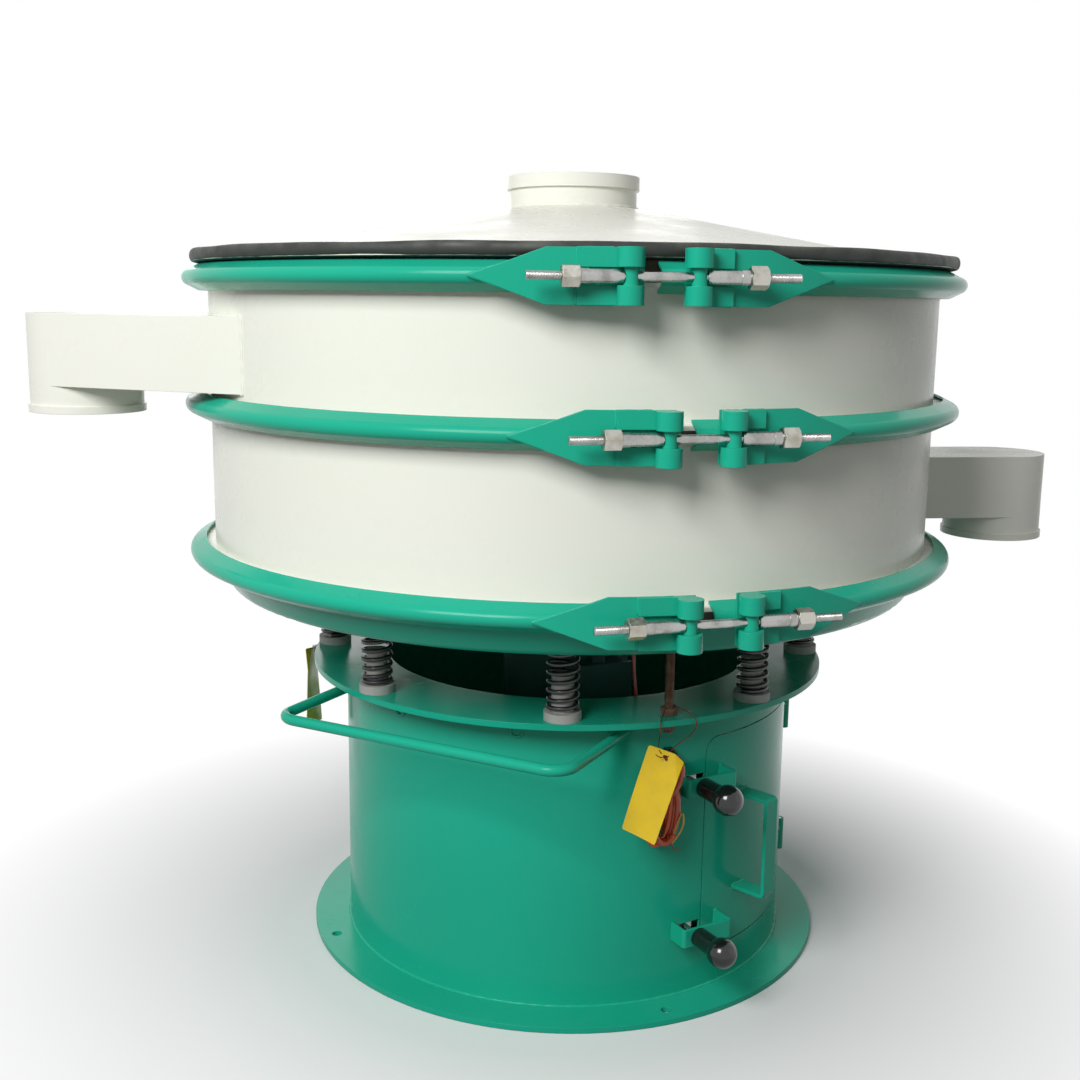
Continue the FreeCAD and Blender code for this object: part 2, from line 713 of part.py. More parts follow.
def base_shell():
    tools = [door_block("door_opening", D.door_gap)]
    for place, height in LATCHES:
        left = -(D.hammer_half + D.slot_margin)
        right = D.hammer_half + D.slot_margin + D.slot_sweep
        low = height - D.hammer_height / 2 - D.slot_margin
        high = height + D.hammer_height / 2 + D.slot_margin
        corners = [(left, low), (right, low), (right, high), (left, high)]
        slot = padded(f"{place}_slot", corners, "XZ_Plane", 3 * D.base_wall,
                      offset=D.base_radius - 2 * D.base_wall)
        tools.append(turned(slot, D.latch_bearing))
    hole = cylinder("gland_hole", D.gland_radius * 0.8, 4 * D.base_wall)
    forward(hole, D.base_radius - 2 * D.base_wall, D.gland_height)
    tools.append(turned(group("gland_hole_turned", [hole]), D.gland_bearing))
    node("base_shell", cut("base_shell", base_ring(), *tools))


def base_flanges():
    anchors = [(D.anchor_hole, D.anchor_radius, D.anchor_start, D.anchor_count)]
    node("bottom_flange", flange("bottom_flange", D.foot_radius, D.foot_bore,
                                 D.foot_thickness, Size(0, "0"), anchors))
    ties = [(D.tie_hole, D.tie_circle, D.tie_start, D.tie_count)]
    node("top_flange", flange("top_flange", D.top_flange_radius, D.top_flange_bore,
                              D.top_flange_thickness, FLANGE_LOW, ties))


def towing_rail():
    """A round rod bent to a U, its ends welded to the shell under the top flange."""
    body = DOC.addObject("PartDesign::Body", "rail_body")
    path = sketch_on(body, "rail_path", "XY_Plane")
    bind(path, AttachmentOffset__Base__z=D.rail_height)
    half, reach, corner = D.rail_half, D.rail_reach, D.rail_corner
    start = -(D.base_radius / 2)
    outline(path, [
        (half, start),
        (half, corner - reach),
        (half - corner, -reach, -corner),
        (corner - half, -reach),
        (-half, corner - reach, -corner),
        (-half, start),
    ], closed=False)
    section = sketch_on(body, "rail_section", "XZ_Plane")
    bind(section, AttachmentOffset__Base__z=-start)
    circle_at(section, half, D.rail_height, D.rail_rod)
    sweep = body.newObject("PartDesign::AdditivePipe", "rail_sweep")
    sweep.Profile = section
    sweep.Spine = (path, [f"Edge{k + 1}" for k in range(5)])
    inside = cylinder("rail_inside", D.base_radius, D.rail_height * 2)
    node("towing_rail", turned(cut("towing_rail", body, inside), D.rail_bearing))


def door():
    shell = ring("door_ring", D.base_radius, D.base_radius - D.base_wall,
                 D.base_height, Size(0, "0"))
    panel = common("door_panel", shell, door_block("door_block", Size(0, "0")))
    node("door_panel", panel)
    inner, outer = -D.base_radius, -(D.base_radius + D.grip_reach)
    low, high, bar = D.grip_low, D.grip_high, D.grip_bar
    bend = bar + 2
    handle = padded("door_handle", [
        (inner, low),
        (outer + bend, low),
        (outer, low + bend, -bend),
        (outer, high - bend),
        (outer + bend, high, -bend),
        (inner, high),
        (inner, high - bar),
        (outer + bend, high - bar),
        (outer + bar, high - bend, 2),
        (outer + bar, low + bend),
        (outer + bend, low + bar, 2),
        (inner, low + bar),
    ], "YZ_Plane", D.grip_width, middle=True)
    node("door_handle", turned(handle, D.grip_bearing))


def leaf(name, low, direction):
    """A hinge knuckle with its curved leaf; direction -1 lies on the door, 1 on the shell."""
    knuckle = D.hinge_knuckle
    barrel = cylinder(f"{name}_barrel", D.hinge_barrel, knuckle, (0, -HINGE_RADIUS, low))
    plate_radius = D.base_radius + D.seat_clearance / 2
    plate = primitive("Cylinder", f"{name}_plate", (0, 0, low), Radius=plate_radius + D.base_wall,
                      Height=knuckle, Angle=D.leaf_angle)
    turn = -90 if direction > 0 else -90 - number(D.leaf_angle)
    plate.Placement = FreeCAD.Placement(V(0, 0, 0), FreeCAD.Rotation(Z_AXIS, turn))
    bore = cylinder(f"{name}_inside", plate_radius, knuckle + 2, (0, 0, low - 1))
    both = fuse(f"{name}_leaf", barrel, cut(f"{name}_curved", plate, bore))
    play = D.hinge_clearance if direction < 0 else Size(0, "0")
    hole = cylinder(f"{name}_hole", D.hinge_pin + play, knuckle + 2, (0, -HINGE_RADIUS, low - 1))
    return cut(name, both, hole)


def hinges():
    heights = (("low", D.hinge_low), ("high", D.hinge_high))
    shell_side, door_side, pins = [], [], []
    for place, middle in heights:
        seam = D.seat_clearance / 2
        shell_side.append(leaf(f"shell_{place}", middle - D.hinge_knuckle - seam, 1))
        door_side.append(leaf(f"door_{place}", middle + seam, -1))
        pins.append(cylinder(f"{place}_pin", D.hinge_pin, 2 * D.hinge_knuckle,
                             (0, -HINGE_RADIUS, middle - D.hinge_knuckle)))
    for label, pieces in (("shell_hinge_leaves", shell_side), ("door_hinge_leaves", door_side),
                          ("hinge_pins", pins)):
        node(label, turned(group(label, pieces), D.hinge_bearing))


def latch_strap(place, height):
    """Flat bar bent to a U: one foot welded to the door, the other resting on the shell."""
    outer = D.base_radius + D.strap_reach
    bar = D.strap_bar
    bend = bar + 1
    left, right = -D.strap_left, D.strap_right
    shell_foot = D.base_radius - sagitta(left + bar, D.base_radius) + D.seat_clearance
    door_foot = D.base_radius - sagitta(right - bar, D.base_radius)
    strap = padded(f"{place}_strap", [
        (left, -shell_foot),
        (left, bend - outer),
        (left + bend, -outer, bend),
        (right - bend, -outer),
        (right, bend - outer, bend),
        (right, -door_foot),
        (right - bar, -door_foot),
        (right - bar, bend - outer),
        (right - bend, bar - outer, -1),
        (left + bend, bar - outer),
        (left + bar, bend - outer, -1),
        (left + bar, -shell_foot),
    ], "XY_Plane", D.strap_height, offset=height - D.strap_height / 2)
    hole = forward(cylinder(f"{place}_strap_hole", D.spindle_radius + D.hinge_clearance, 2 * bar),
                   outer - 1.5 * bar, height)
    return turned(cut(f"{place}_latch_strap", strap, hole), D.latch_bearing)


def latch_turning_parts(place, height):
    """The spindle with its hammer head behind the shell, and the ball knob on its end."""
    head_face = D.base_radius - D.base_wall - 0.8
    head_back = head_face - D.hammer_depth
    knob_face = D.base_radius + D.strap_reach + D.seat_clearance
    rod_end = D.knob_reach - D.knob_ball * 0.5
    rod = forward(cylinder(f"{place}_rod", D.spindle_radius, rod_end - head_back),
                  head_back, height)
    head = primitive("Box", f"{place}_hammer",
                     (-D.hammer_half, -head_face, height - D.hammer_height / 2),
                     Length=2 * D.hammer_half, Width=D.hammer_depth, Height=D.hammer_height)
    spindle = fuse(f"{place}_latch_spindle", rod, head)
    node(f"{place}_latch_spindle", turned(spindle, D.latch_bearing))
    neck = primitive("Cone", f"{place}_neck", Radius1=D.knob_neck, Radius2=D.knob_neck * 1.35,
                     Height=D.knob_reach - knob_face)
    forward(neck, knob_face, height)
    ball = primitive("Sphere", f"{place}_ball", (0, -D.knob_reach, height), Radius=D.knob_ball)
    socket = forward(cylinder(f"{place}_knob_bore", D.spindle_radius, rod_end - knob_face + 1),
                     knob_face - 1, height)
    knob = cut(f"{place}_latch_knob", fuse(f"{place}_knob", neck, ball), socket)
    node(f"{place}_latch_knob", turned(knob, D.latch_bearing))


def latches():
    straps = [latch_strap(place, height) for place, height in LATCHES]
    node("latch_straps", group("latch_straps", straps))
    for place, height in LATCHES:
        latch_turning_parts(place, height)


# ---------------------------------------------------------------- springs and transport bolts

SPRING_LOW = D.base_height + D.spring_pad_height
SPRING_HIGH = D.tray_floor - D.spring_cap_height
SPRINGS = bearings(D.spring_start, D.spring_count)
TIES = bearings(D.tie_start, D.tie_count)


def springs():
    y = -D.spring_circle
    pad = cylinder("pad", D.spring_pad, D.spring_pad_height, (0, y, D.base_height))
    post = cylinder("post", D.spring_post, D.spring_post_height, (0, y, SPRING_LOW))
    node("spring_seats", copies("spring_seats", fuse("spring_seat", pad, post), SPRINGS))
    outside = cylinder("coil_outside", D.spring_coil, SPRING_HIGH - SPRING_LOW, (0, y, SPRING_LOW))
    inside = cylinder("coil_inside", D.spring_coil - D.spring_wire, SPRING_HIGH - SPRING_LOW,
                      (0, y, SPRING_LOW))
    node("springs", copies("springs", cut("spring", outside, inside), SPRINGS))
    cap = cylinder("cap", D.spring_pad, D.spring_cap_height, (0, y, SPRING_HIGH))
    node("spring_caps", copies("spring_caps", cap, SPRINGS))


def hexagon(name, corner_radius, bore, height, at):
    """A hexagon nut standing on `at`."""
    x, y, z = at
    blank = prism(f"{name}_blank", 6, corner_radius, height, at)
    hole = cylinder(f"{name}_thread", bore, height + 2, (x, y, z - 1))
    return cut(name, blank, hole)


def transport_bolts():
    y = -D.tie_circle
    nut = D.tie_nut_height
    tray_top = D.tray_floor + D.tray_wall
    places = (
        FLANGE_LOW - nut,
        D.base_height,
        D.tray_floor - D.tie_back_off - nut,
        tray_top + D.tie_back_off,
    )
    low = FLANGE_LOW - nut - 5
    high = tray_top + D.tie_back_off + nut + 5
    rod = cylinder("tie", D.tie_radius, high - low, (0, y, low))
    node("transport_bolts", copies("transport_bolts", rod, TIES))
    nuts = [hexagon(f"tie_nut_{k}", D.tie_nut, D.tie_radius, nut, (0, y, place))
            for k, place in enumerate(places)]
    node("transport_nuts", copies("transport_nuts", group("tie_nuts", nuts), TIES))


# ---------------------------------------------------------------- sprung deck

FLANK_SLOPE = (D.ring_half - D.ring_shoulder_half) / (D.ring_shoulder - D.ring_edge)
FLANK_DROP = D.ring_wall * 1.12
STACK_HALF = (D.ring_half - FLANK_DROP - FLANK_SLOPE * (D.lip_radius - D.ring_edge)
              - D.seat_clearance)
SEAL_HALF = STACK_HALF - D.lip_thickness
INSIDE = D.frame_radius - D.frame_wall


def clamp_ring(name, joint, closure):
    """A pressed ring with sloping flanks and a rounded crest, open at its closure."""
    half, shoulder = D.ring_half, D.ring_shoulder_half
    crest = D.ring_radius - D.ring_shoulder
    crest_arc = (shoulder * shoulder + crest * crest) / (2 * crest)
    inner_radius = D.ring_shoulder - D.ring_wall
    inner_half = half - FLANK_DROP - FLANK_SLOPE * (inner_radius - D.ring_edge)
    inner_crest = crest - 1
    inner_arc = (inner_half * inner_half + inner_crest * inner_crest) / (2 * inner_crest)
    body = revolved(f"{name}_body", [
        (D.ring_edge, joint - half),
        (D.ring_shoulder, joint - shoulder),
        (D.ring_shoulder, joint + shoulder, crest_arc),
        (D.ring_edge, joint + half),
        (D.ring_edge, joint + half - FLANK_DROP),
        (inner_radius, joint + inner_half),
        (inner_radius, joint - inner_half, -inner_arc),
        (D.ring_edge, joint - half + FLANK_DROP),
    ])
    gap = primitive("Box", f"{name}_gap",
                    (D.closure_shift - D.closure_gap, -(D.ring_radius + 5), joint - half - 5),
                    Length=2 * D.closure_gap, Width=D.lug_depth, Height=2 * half + 10)
    node(name, turned(cut(name, body, gap), closure))


def lug(name, joint, side):
    """A pointed plate that follows the ring, with two sockets wrapped round a trunnion."""
    half = D.lug_height / 2
    corners = [
        (side * D.lug_root, joint - half),
        (side * D.lug_taper, joint - half),
        (side * D.lug_tip, joint),
        (side * D.lug_taper, joint + half),
        (side * D.lug_root, joint + half),
    ]
    if side > 0:
        corners.reverse()
    outline_block = padded(f"{name}_outline", corners, "XZ_Plane", D.ring_radius * 0.5,
                           offset=D.ring_radius * 0.75)
    inner = D.ring_radius + D.seat_clearance / 3
    band = ring(f"{name}_band", inner + D.lug_plate, inner, 2 * half + 4, joint - half - 2)
    plate = common(f"{name}_plate", band, outline_block)
    parts = [plate]
    x = side * D.trunnion_half
    end = D.trunnion_half + (D.wrap_left if side < 0 else D.wrap_right)
    inward = D.ring_radius - D.lug_depth / 2
    wrap = [
        (x, -inward),
        (x, -(D.rod_line - D.socket_radius + D.wrap_sheet)),
        (side * end, sagitta(end, inner + D.lug_plate) - (inner + D.lug_plate + D.wrap_sheet)),
        (side * end, -inward),
    ]
    if side > 0:
        wrap.reverse()
    for level, low in (("upper", joint + D.socket_slot / 2),
                       ("lower", joint - D.socket_slot / 2 - D.socket_height)):
        barrel = cylinder(f"{name}_{level}", D.socket_radius, D.socket_height, (x, -D.rod_line, low))
        strap = padded(f"{name}_{level}_strap", wrap, "XY_Plane", D.socket_height, offset=low)
        parts += [barrel, strap]
    body = fuse(f"{name}_whole", *parts)
    inside = ring(f"{name}_inside_tool", inner, inner - D.lug_depth, 2 * half + 8, joint - half - 4)
    bore = cylinder(f"{name}_bore", D.trunnion_radius, D.lug_height + 10,
                    (x, -D.rod_line, joint - half - 5))
    return cut(name, body, inside, bore)


def closure(ring_name, joint, bearing, shared):
    """Lugs, trunnions, tie rod, spacers and nuts that draw a clamp ring together."""
    lugs = [lug(f"{ring_name}_lug_{k}", joint, side) for k, side in enumerate((-1, 1))]
    shared["clamp_lugs"].append(turned(group(f"{ring_name}_lugs", lugs), bearing))
    top = D.socket_slot / 2 + D.socket_height
    trunnions = []
    for k, side in enumerate((-1, 1)):
        pin = cylinder(f"{ring_name}_trunnion_{k}", D.trunnion_radius, 2 * top,
                       (side * D.trunnion_half, -D.rod_line, joint - top))
        hole = sideways(cylinder(f"{ring_name}_eye_{k}", D.tie_rod_radius + 0.05,
                                 4 * D.trunnion_radius),
                        side * D.trunnion_half - 2 * D.trunnion_radius, joint)
        trunnions.append(cut(f"{ring_name}_pin_{k}", pin, hole))
    shared["trunnions"].append(turned(group(f"{ring_name}_trunnions", trunnions), bearing))
    rod = sideways(cylinder(f"{ring_name}_tie_rod", D.tie_rod_radius, 2 * D.tie_rod_half),
                   -D.tie_rod_half, joint)
    shared["tie_rods"].append(turned(group(f"{ring_name}_rod", [rod]), bearing))
    shared["rod_spacers"].append(clamp_hardware(ring_name, joint, bearing))


def sideways(item, start, height):
    """Lay a cylinder or prism along +X on the tie rod's line, from `start`."""
    item.Placement = FreeCAD.Placement(V(0, 0, 0), FreeCAD.Rotation(V(0, 1, 0), 90))
    bind(item, Placement__Base__x=start, Placement__Base__y=-D.rod_line,
         Placement__Base__z=height)
    return item


def clamp_hardware(ring_name, joint, bearing):
    inner = D.trunnion_half + D.trunnion_radius
    spacers = []
    for k, side in enumerate((-1, 1)):
        begin = inner if side > 0 else -(inner + D.sleeve_length)
        sleeve = sideways(cylinder(f"{ring_name}_sleeve_{k}", D.sleeve_radius, D.sleeve_length),
                          begin, joint)
        reach = inner + D.sleeve_length
        begin = reach if side > 0 else -(reach + D.collar_length)
        collar = sideways(cylinder(f"{ring_name}_collar_{k}", D.collar_radius, D.collar_length),
                          begin, joint)
        bore = sideways(cylinder(f"{ring_name}_spacer_bore_{k}", D.tie_rod_radius,
                                 2 * D.tie_rod_half), -D.tie_rod_half, joint)
        spacers.append(cut(f"{ring_name}_spacer_{k}",
                           fuse(f"{ring_name}_spacer_body_{k}", sleeve, collar), bore))
        clamp_nut(ring_name, k, side, reach + D.collar_length, joint, bearing)
    return turned(group(f"{ring_name}_spacers", spacers), bearing)


def clamp_nut(ring_name, k, side, reach, joint, bearing):
    label = f"{ring_name}_{('left', 'right')[k]}_nut"
    near = reach + D.seat_clearance
    begin = near if side > 0 else -(near + D.clamp_nut_length)
    blank = sideways(prism(f"{label}_blank", 6, D.clamp_nut, D.clamp_nut_length), begin, joint)
    thread = sideways(cylinder(f"{label}_thread", D.tie_rod_radius + D.hinge_clearance,
                               2 * D.tie_rod_half), -D.tie_rod_half, joint)
    node(label, turned(cut(label, blank, thread), bearing))


def clamps():
    shared = {label: [] for label in ("clamp_lugs", "trunnions", "tie_rods", "rod_spacers")}
    for name, joint, bearing in (("top_ring", D.top_joint, D.top_closure),
                                 ("middle_ring", D.middle_joint, D.middle_closure),
                                 ("bottom_ring", D.bottom_joint, D.bottom_closure)):
        clamp_ring(name, joint, bearing)
        closure(name, joint, bearing, shared)
    for label, pieces in shared.items():
        node(label, group(label, pieces))


def frame(name, low_joint, high_joint, floor, bearing, offset, reach):
    """A rolled screen frame with a lip at each end, and the chute on its wall."""
    low, high = low_joint + SEAL_HALF, high_joint - SEAL_HALF
    lip = D.lip_thickness
    wall = revolved(f"{name}_wall", [
        (INSIDE, low),
        (D.lip_radius, low),
        (D.lip_radius, low + lip),
        (D.frame_radius, low + lip),
        (D.frame_radius, high - lip),
        (D.lip_radius, high - lip),
        (D.lip_radius, high),
        (INSIDE, high),
    ])
    node(f"{name}_frame", turned(cut(f"{name}_frame", wall, chute_void(name, floor, offset, reach)),
                                 bearing))
    outer = chute_solid(f"{name}_chute_outside", floor, offset, reach)
    trim = cylinder(f"{name}_trim", D.frame_radius, D.chute_height * 3,
                    (0, 0, floor - D.chute_height))
    chute = cut(f"{name}_chute", outer, chute_void(f"{name}_chute_inside", floor, offset, reach),
                trim)
    node(f"{name}_chute", turned(chute, bearing))


def chute_solid(name, floor, offset, reach):
    half, height = D.chute_half, D.chute_height
    start = D.frame_radius * 0.4
    run = box(f"{name}_run", 2 * half, reach - start, height,
              (offset, -(reach + start) / 2, floor))
    end = cylinder(f"{name}_end", half, height, (offset, -reach, floor))
    spout = cylinder(f"{name}_spout", half, D.spout_drop + 1, (offset, -reach, floor - D.spout_drop))
    bead = cylinder(f"{name}_bead", half + D.bead_out, D.bead_height,
                    (offset, -reach, floor - D.spout_drop))
    return fuse(name, run, end, spout, bead)


def chute_void(name, floor, offset, reach):
    half, sheet = D.chute_half - D.chute_sheet, D.chute_sheet
    height = D.chute_height - 2 * sheet
    start = D.frame_radius * 0.4
    run = box(f"{name}_void_run", 2 * half, reach - start, height,
              (offset, -(reach + start) / 2, floor + sheet))
    end = cylinder(f"{name}_void_end", half, height, (offset, -reach, floor + sheet))
    spout = cylinder(f"{name}_void_spout", half, D.spout_drop + 2 * sheet + 1,
                     (offset, -reach, floor - D.spout_drop - 1))
    return fuse(f"{name}_void", run, end, spout)


def frames():
    frame("lower", D.bottom_joint, D.middle_joint, D.lower_chute_floor,
          D.lower_chute_bearing, D.lower_chute_offset, D.lower_chute_reach)
    frame("upper", D.middle_joint, D.top_joint, D.upper_chute_floor,
          D.upper_chute_bearing, D.upper_chute_offset, D.upper_chute_reach)


def tray():
    """The plate that the springs carry and the motor hangs from."""
    top = D.bottom_joint - SEAL_HALF
    wall, floor = D.tray_wall, D.tray_floor
    turn, turn_height = D.tray_knuckle, D.tray_knuckle_height
    rim_foot = D.frame_radius + 4
    knee = turn - 14
    body = revolved("tray_body", [
        (D.tray_hub, floor),
        (knee, floor),
        (turn, turn_height, 18),
        (rim_foot, top - D.lip_thickness),
        (D.lip_radius, top - D.lip_thickness),
        (D.lip_radius, top),
        (INSIDE, top),
        (turn - wall, turn_height + wall * 0.8),
        (knee - wall * 0.4, floor + wall, -13),
        (D.tray_hub, floor + wall),
    ])
    tie = cylinder("tray_tie_hole", D.tie_slack_hole, 4 * wall, (0, -D.tie_circle, floor - wall))
    bolt = cylinder("tray_bolt_hole", D.motor_bolt + 0.5, 4 * wall,
                    (0, -D.motor_bolt_circle, floor - wall))
    node("vibrating_tray", cut("vibrating_tray", body, copies("tray_tie_holes", tie, TIES),
                               copies("tray_bolt_holes", bolt, bearings(0, D.motor_bolts))))


def dome():
    """The convex floor of the lower frame, which sheds fines to the lower outlet."""
    edge, rise, sheet = D.dome_edge, D.dome_rise, D.dome_sheet
    outside = INSIDE - D.seat_clearance
    node("discharge_dome", revolved("discharge_dome", [
        (Size(0, "0"), edge + rise),
        (outside * 0.35, edge + rise * 0.86),
        (outside, edge),
        (outside, edge + sheet),
        (outside * 0.35, edge + rise * 0.86 + sheet),
        (Size(0, "0"), edge + rise + sheet),
    ]))


def seals_and_screen():
    plain = [ring(f"{place}_seal", D.lip_radius, D.seal_inner, 2 * SEAL_HALF, joint - SEAL_HALF)
             for place, joint in (("bottom", D.bottom_joint), ("top", D.top_joint))]
    node("frame_seals", group("frame_seals", plain))
    joint, thick = D.middle_joint, D.screen_thickness
    node("screen_seal", revolved("screen_seal", [
        (D.seal_inner, joint - SEAL_HALF),
        (D.lip_radius, joint - SEAL_HALF),
        (D.lip_radius, joint + SEAL_HALF),
        (D.seal_inner, joint + SEAL_HALF),
        (D.seal_inner, joint + thick / 2),
        (D.screen_outer, joint + thick / 2),
        (D.screen_outer, joint - thick / 2),
        (D.seal_inner, joint - thick / 2),
    ]))
    node("screen_ring", ring("screen_ring", D.screen_outer, D.screen_inner, thick,
                             joint - thick / 2))
    node("screen_mesh", cylinder("screen_mesh", D.seal_inner - 1, D.mesh_sheet,
                                 (0, 0, joint + thick / 2)))


def lid():
    sheet, brim = D.lid_sheet, D.lid_brim_height
    mouth = D.neck_radius + D.seat_clearance
    collar = D.lid_collar_height
    node("lid", revolved("lid", [
        (mouth, collar - sheet),
        (D.lid_brim, brim),
        (D.lid_edge, brim),
        (D.lid_edge, brim + sheet),
        (D.lid_brim, brim + sheet),
        (mouth, collar),
    ]))
    low = D.top_joint + D.ring_half + D.seat_clearance
    slot_low, slot_high = brim - 0.1, brim + sheet + 0.1
    groove = D.lid_edge + 0.1
    node("lid_edging", revolved("lid_edging", [
        (D.edging_inner, low),
        (D.edging_outer, low),
        (D.edging_outer, D.edging_top),
        (D.edging_inner, D.edging_top),
        (D.edging_inner, slot_high),
        (groove, slot_high),
        (groove, slot_low),
        (D.edging_inner, slot_low),
    ]))
    band = D.neck_top - D.neck_band_height
    inner = D.neck_radius - D.neck_wall
    node("inlet_neck", revolved("inlet_neck", [
        (inner, collar - 2 * sheet),
        (D.neck_radius, collar - 2 * sheet),
        (D.neck_radius, band),
        (D.neck_radius + D.neck_band, band),
        (D.neck_radius + D.neck_band, D.neck_top),
        (inner, D.neck_top),
    ]))


# ---------------------------------------------------------------- vibration motor

def motor():
    low, high, wall = D.motor_bottom, D.motor_top, D.motor_wall
    outer, seat = D.motor_radius, D.bearing_outer
    end = D.bearing_width + wall
    node("motor_housing", revolved("motor_housing", [
        (seat, low),
        (outer - wall, low),
        (outer, low + wall),
        (outer, high),
        (seat, high),
        (seat, high - end),
        (outer - wall, high - end),
        (outer - wall, low + end),
        (seat, low + end),
    ]))
    flange_plate = flange("motor_flange", D.motor_flange_radius, D.bearing_outer + 10,
                          D.tray_floor - high, high,
                          [(D.motor_bolt + 0.5, D.motor_bolt_circle, 0, D.motor_bolts)])
    node("motor_flange", flange_plate)
    bore = D.shaft_radius + D.shaft_clearance
    bearing_low = ring("bearing_low", seat, bore, D.bearing_width, low + wall / 2)
    bearing_high = ring("bearing_high", seat, bore, D.bearing_width,
                        high - wall / 2 - D.bearing_width)
    node("motor_bearings", group("motor_bearings", [bearing_low, bearing_high]))
    middle = (low + high) / 2
    node("rotor_core", ring("rotor_core", D.core_radius, D.shaft_radius, D.core_length,
                            middle - D.core_length / 2))
    node("motor_shaft", cylinder("motor_shaft", D.shaft_radius, D.shaft_top - D.shaft_bottom,
                                 (0, 0, D.shaft_bottom)))
    motor_fasteners(high)


def motor_fasteners(high):
    y = -D.motor_bolt_circle
    head = D.motor_bolt_head
    length = D.motor_flange_thickness + D.tray_wall + D.motor_bolt_end
    shank = cylinder("motor_shank", D.motor_bolt, length, (0, y, high))
    cap = prism("motor_bolt_head", 6, 1.7 * D.motor_bolt, head, (0, y, high - head))
    bolt = fuse("motor_bolt", shank, cap)
    spots = bearings(0, D.motor_bolts)
    nut = hexagon("motor_nut", 1.7 * D.motor_bolt, D.motor_bolt, D.motor_nut,
                  (0, y, D.tray_floor + D.tray_wall))
    node("motor_bolts", copies("motor_bolts", group("bolt_and_nut", [bolt, nut]), spots))


def eccentric(name, low, height, facing):
    fan = primitive("Cylinder", f"{name}_fan", (0, 0, low), Radius=D.weight_radius, Height=height,
                    Angle=D.weight_fan)
    turn = number(facing - D.weight_fan / 2)
    fan.Placement = FreeCAD.Placement(V(0, 0, 0), FreeCAD.Rotation(Z_AXIS, turn))
    hub = cylinder(f"{name}_hub", D.weight_hub, height, (0, 0, low))
    bore = cylinder(f"{name}_bore", D.shaft_radius, height + 2, (0, 0, low - 1))
    return cut(name, fuse(f"{name}_body", fan, hub), bore)


def weights():
    upper = eccentric("upper_weight", D.upper_weight_low, D.upper_weight_height, 0)
    node("upper_weight", upper)
    fixed = eccentric("fixed_weight", D.lower_weight_low, D.lower_weight_height, 0)
    phase = eccentric("phase_weight", D.lower_weight_low + D.lower_weight_height,
                      D.phase_weight_height, D.phase_angle)
    node("lower_weights", group("lower_weights", [fixed, phase]))


def terminal_box():
    depth, height, lip = D.terminal_depth, D.terminal_height, D.terminal_lip
    face = D.motor_radius - D.terminal_sunk + depth
    block = box("terminal_case", D.terminal_width, depth, height,
                (0, depth / 2 - face, D.terminal_low))
    inside = cylinder("terminal_fit", D.motor_radius, height + 20, (0, 0, D.terminal_low - 10))
    gland = cylinder("terminal_gland", D.terminal_gland, D.terminal_gland_height,
                     (0, depth / 2 - face - 10, D.terminal_low + height))
    case = fuse("terminal_case_gland", cut("terminal_body", block, inside), gland)
    cover = box("terminal_cover", D.terminal_width + 2 * lip, D.terminal_cover, height + 2 * lip,
                (0, -(face + D.terminal_cover / 2), D.terminal_low - lip))
    node("terminal_box", turned(group("terminal_box", [case, cover]), D.gland_bearing))


# ---------------------------------------------------------------- cable and tags

def cable():
    wall = D.base_radius
    nut = forward(prism("gland_nut", 6, D.gland_radius, 8), wall, D.gland_height)
    dome_nut = forward(primitive("Cone", "gland_dome", Radius1=D.gland_radius * 0.85,
                                 Radius2=D.gland_radius * 0.6, Height=16), wall + 8, D.gland_height)
    stem = forward(cylinder("gland_stem", D.gland_radius * 0.8 - 0.1, 22), wall - 14,
                   D.gland_height)
    whole = fuse("gland_body", nut, dome_nut, stem)
    bore = forward(cylinder("gland_bore", D.cable_radius, 60), wall - 4, D.gland_height)
    node("cable_gland", turned(cut("cable_gland", whole, bore), D.gland_bearing))
    hank = padded("cable_hank", rounded_rectangle(-D.hank_half, D.hank_half, D.hank_low,
                                                  D.hank_high, D.hank_bend),
                  "XZ_Plane", D.hank_depth, offset=wall + D.hank_stand)
    node("cable_hank", turned(hank, D.hank_bearing))
    route = [
        polar(D.gland_bearing, number(wall) + 24, number(D.gland_height)),
        polar(D.gland_bearing, number(wall) + 40, number(D.gland_height)),
        polar(21.5, number(wall) + 50, number(D.gland_height) - 18),
        polar(20.0, number(wall) + 44, number(D.gland_height) - 38),
        polar(19.5, number(wall) + 31, number(D.gland_height) - 46),
    ]
    node("supply_cable", cut("supply_cable", tube("cable_tube", route, D.cable_radius), hank))
    lead = [
        polar(D.gland_bearing, number(wall) - 14, number(D.gland_height)),
        polar(D.gland_bearing, number(wall) - 46, number(D.gland_height) + 2),
        polar(D.gland_bearing - 2, number(wall) - 64, number(D.gland_height) + 34),
        polar(D.gland_bearing - 3, number(wall) - 70, number(D.gland_height) + 78),
        polar(D.gland_bearing - 3, number(wall) - 78, number(D.gland_height) + 118),
        polar(D.gland_bearing - 2, number(wall) - 112, number(D.gland_height) + 136),
        polar(D.gland_bearing, number(wall) - 162, number(D.gland_height) + 133),
        polar(D.gland_bearing, number(wall) - 202, number(D.gland_height) + 112),
        polar(D.gland_bearing, number(D.motor_radius) + 20, number(D.gland_height) + 91),
    ]
    node("motor_lead", tube("motor_lead", lead, D.lead_radius))
    cores()


def beside_hank(side, out, height):
    """A point beside the hank's middle line, `out` of its front face."""
    depth = number(D.base_radius + D.hank_stand + D.hank_depth) + out
    point = V(side, -depth, height)
    return FreeCAD.Rotation(Z_AXIS, number(D.hank_bearing)).multVec(point)


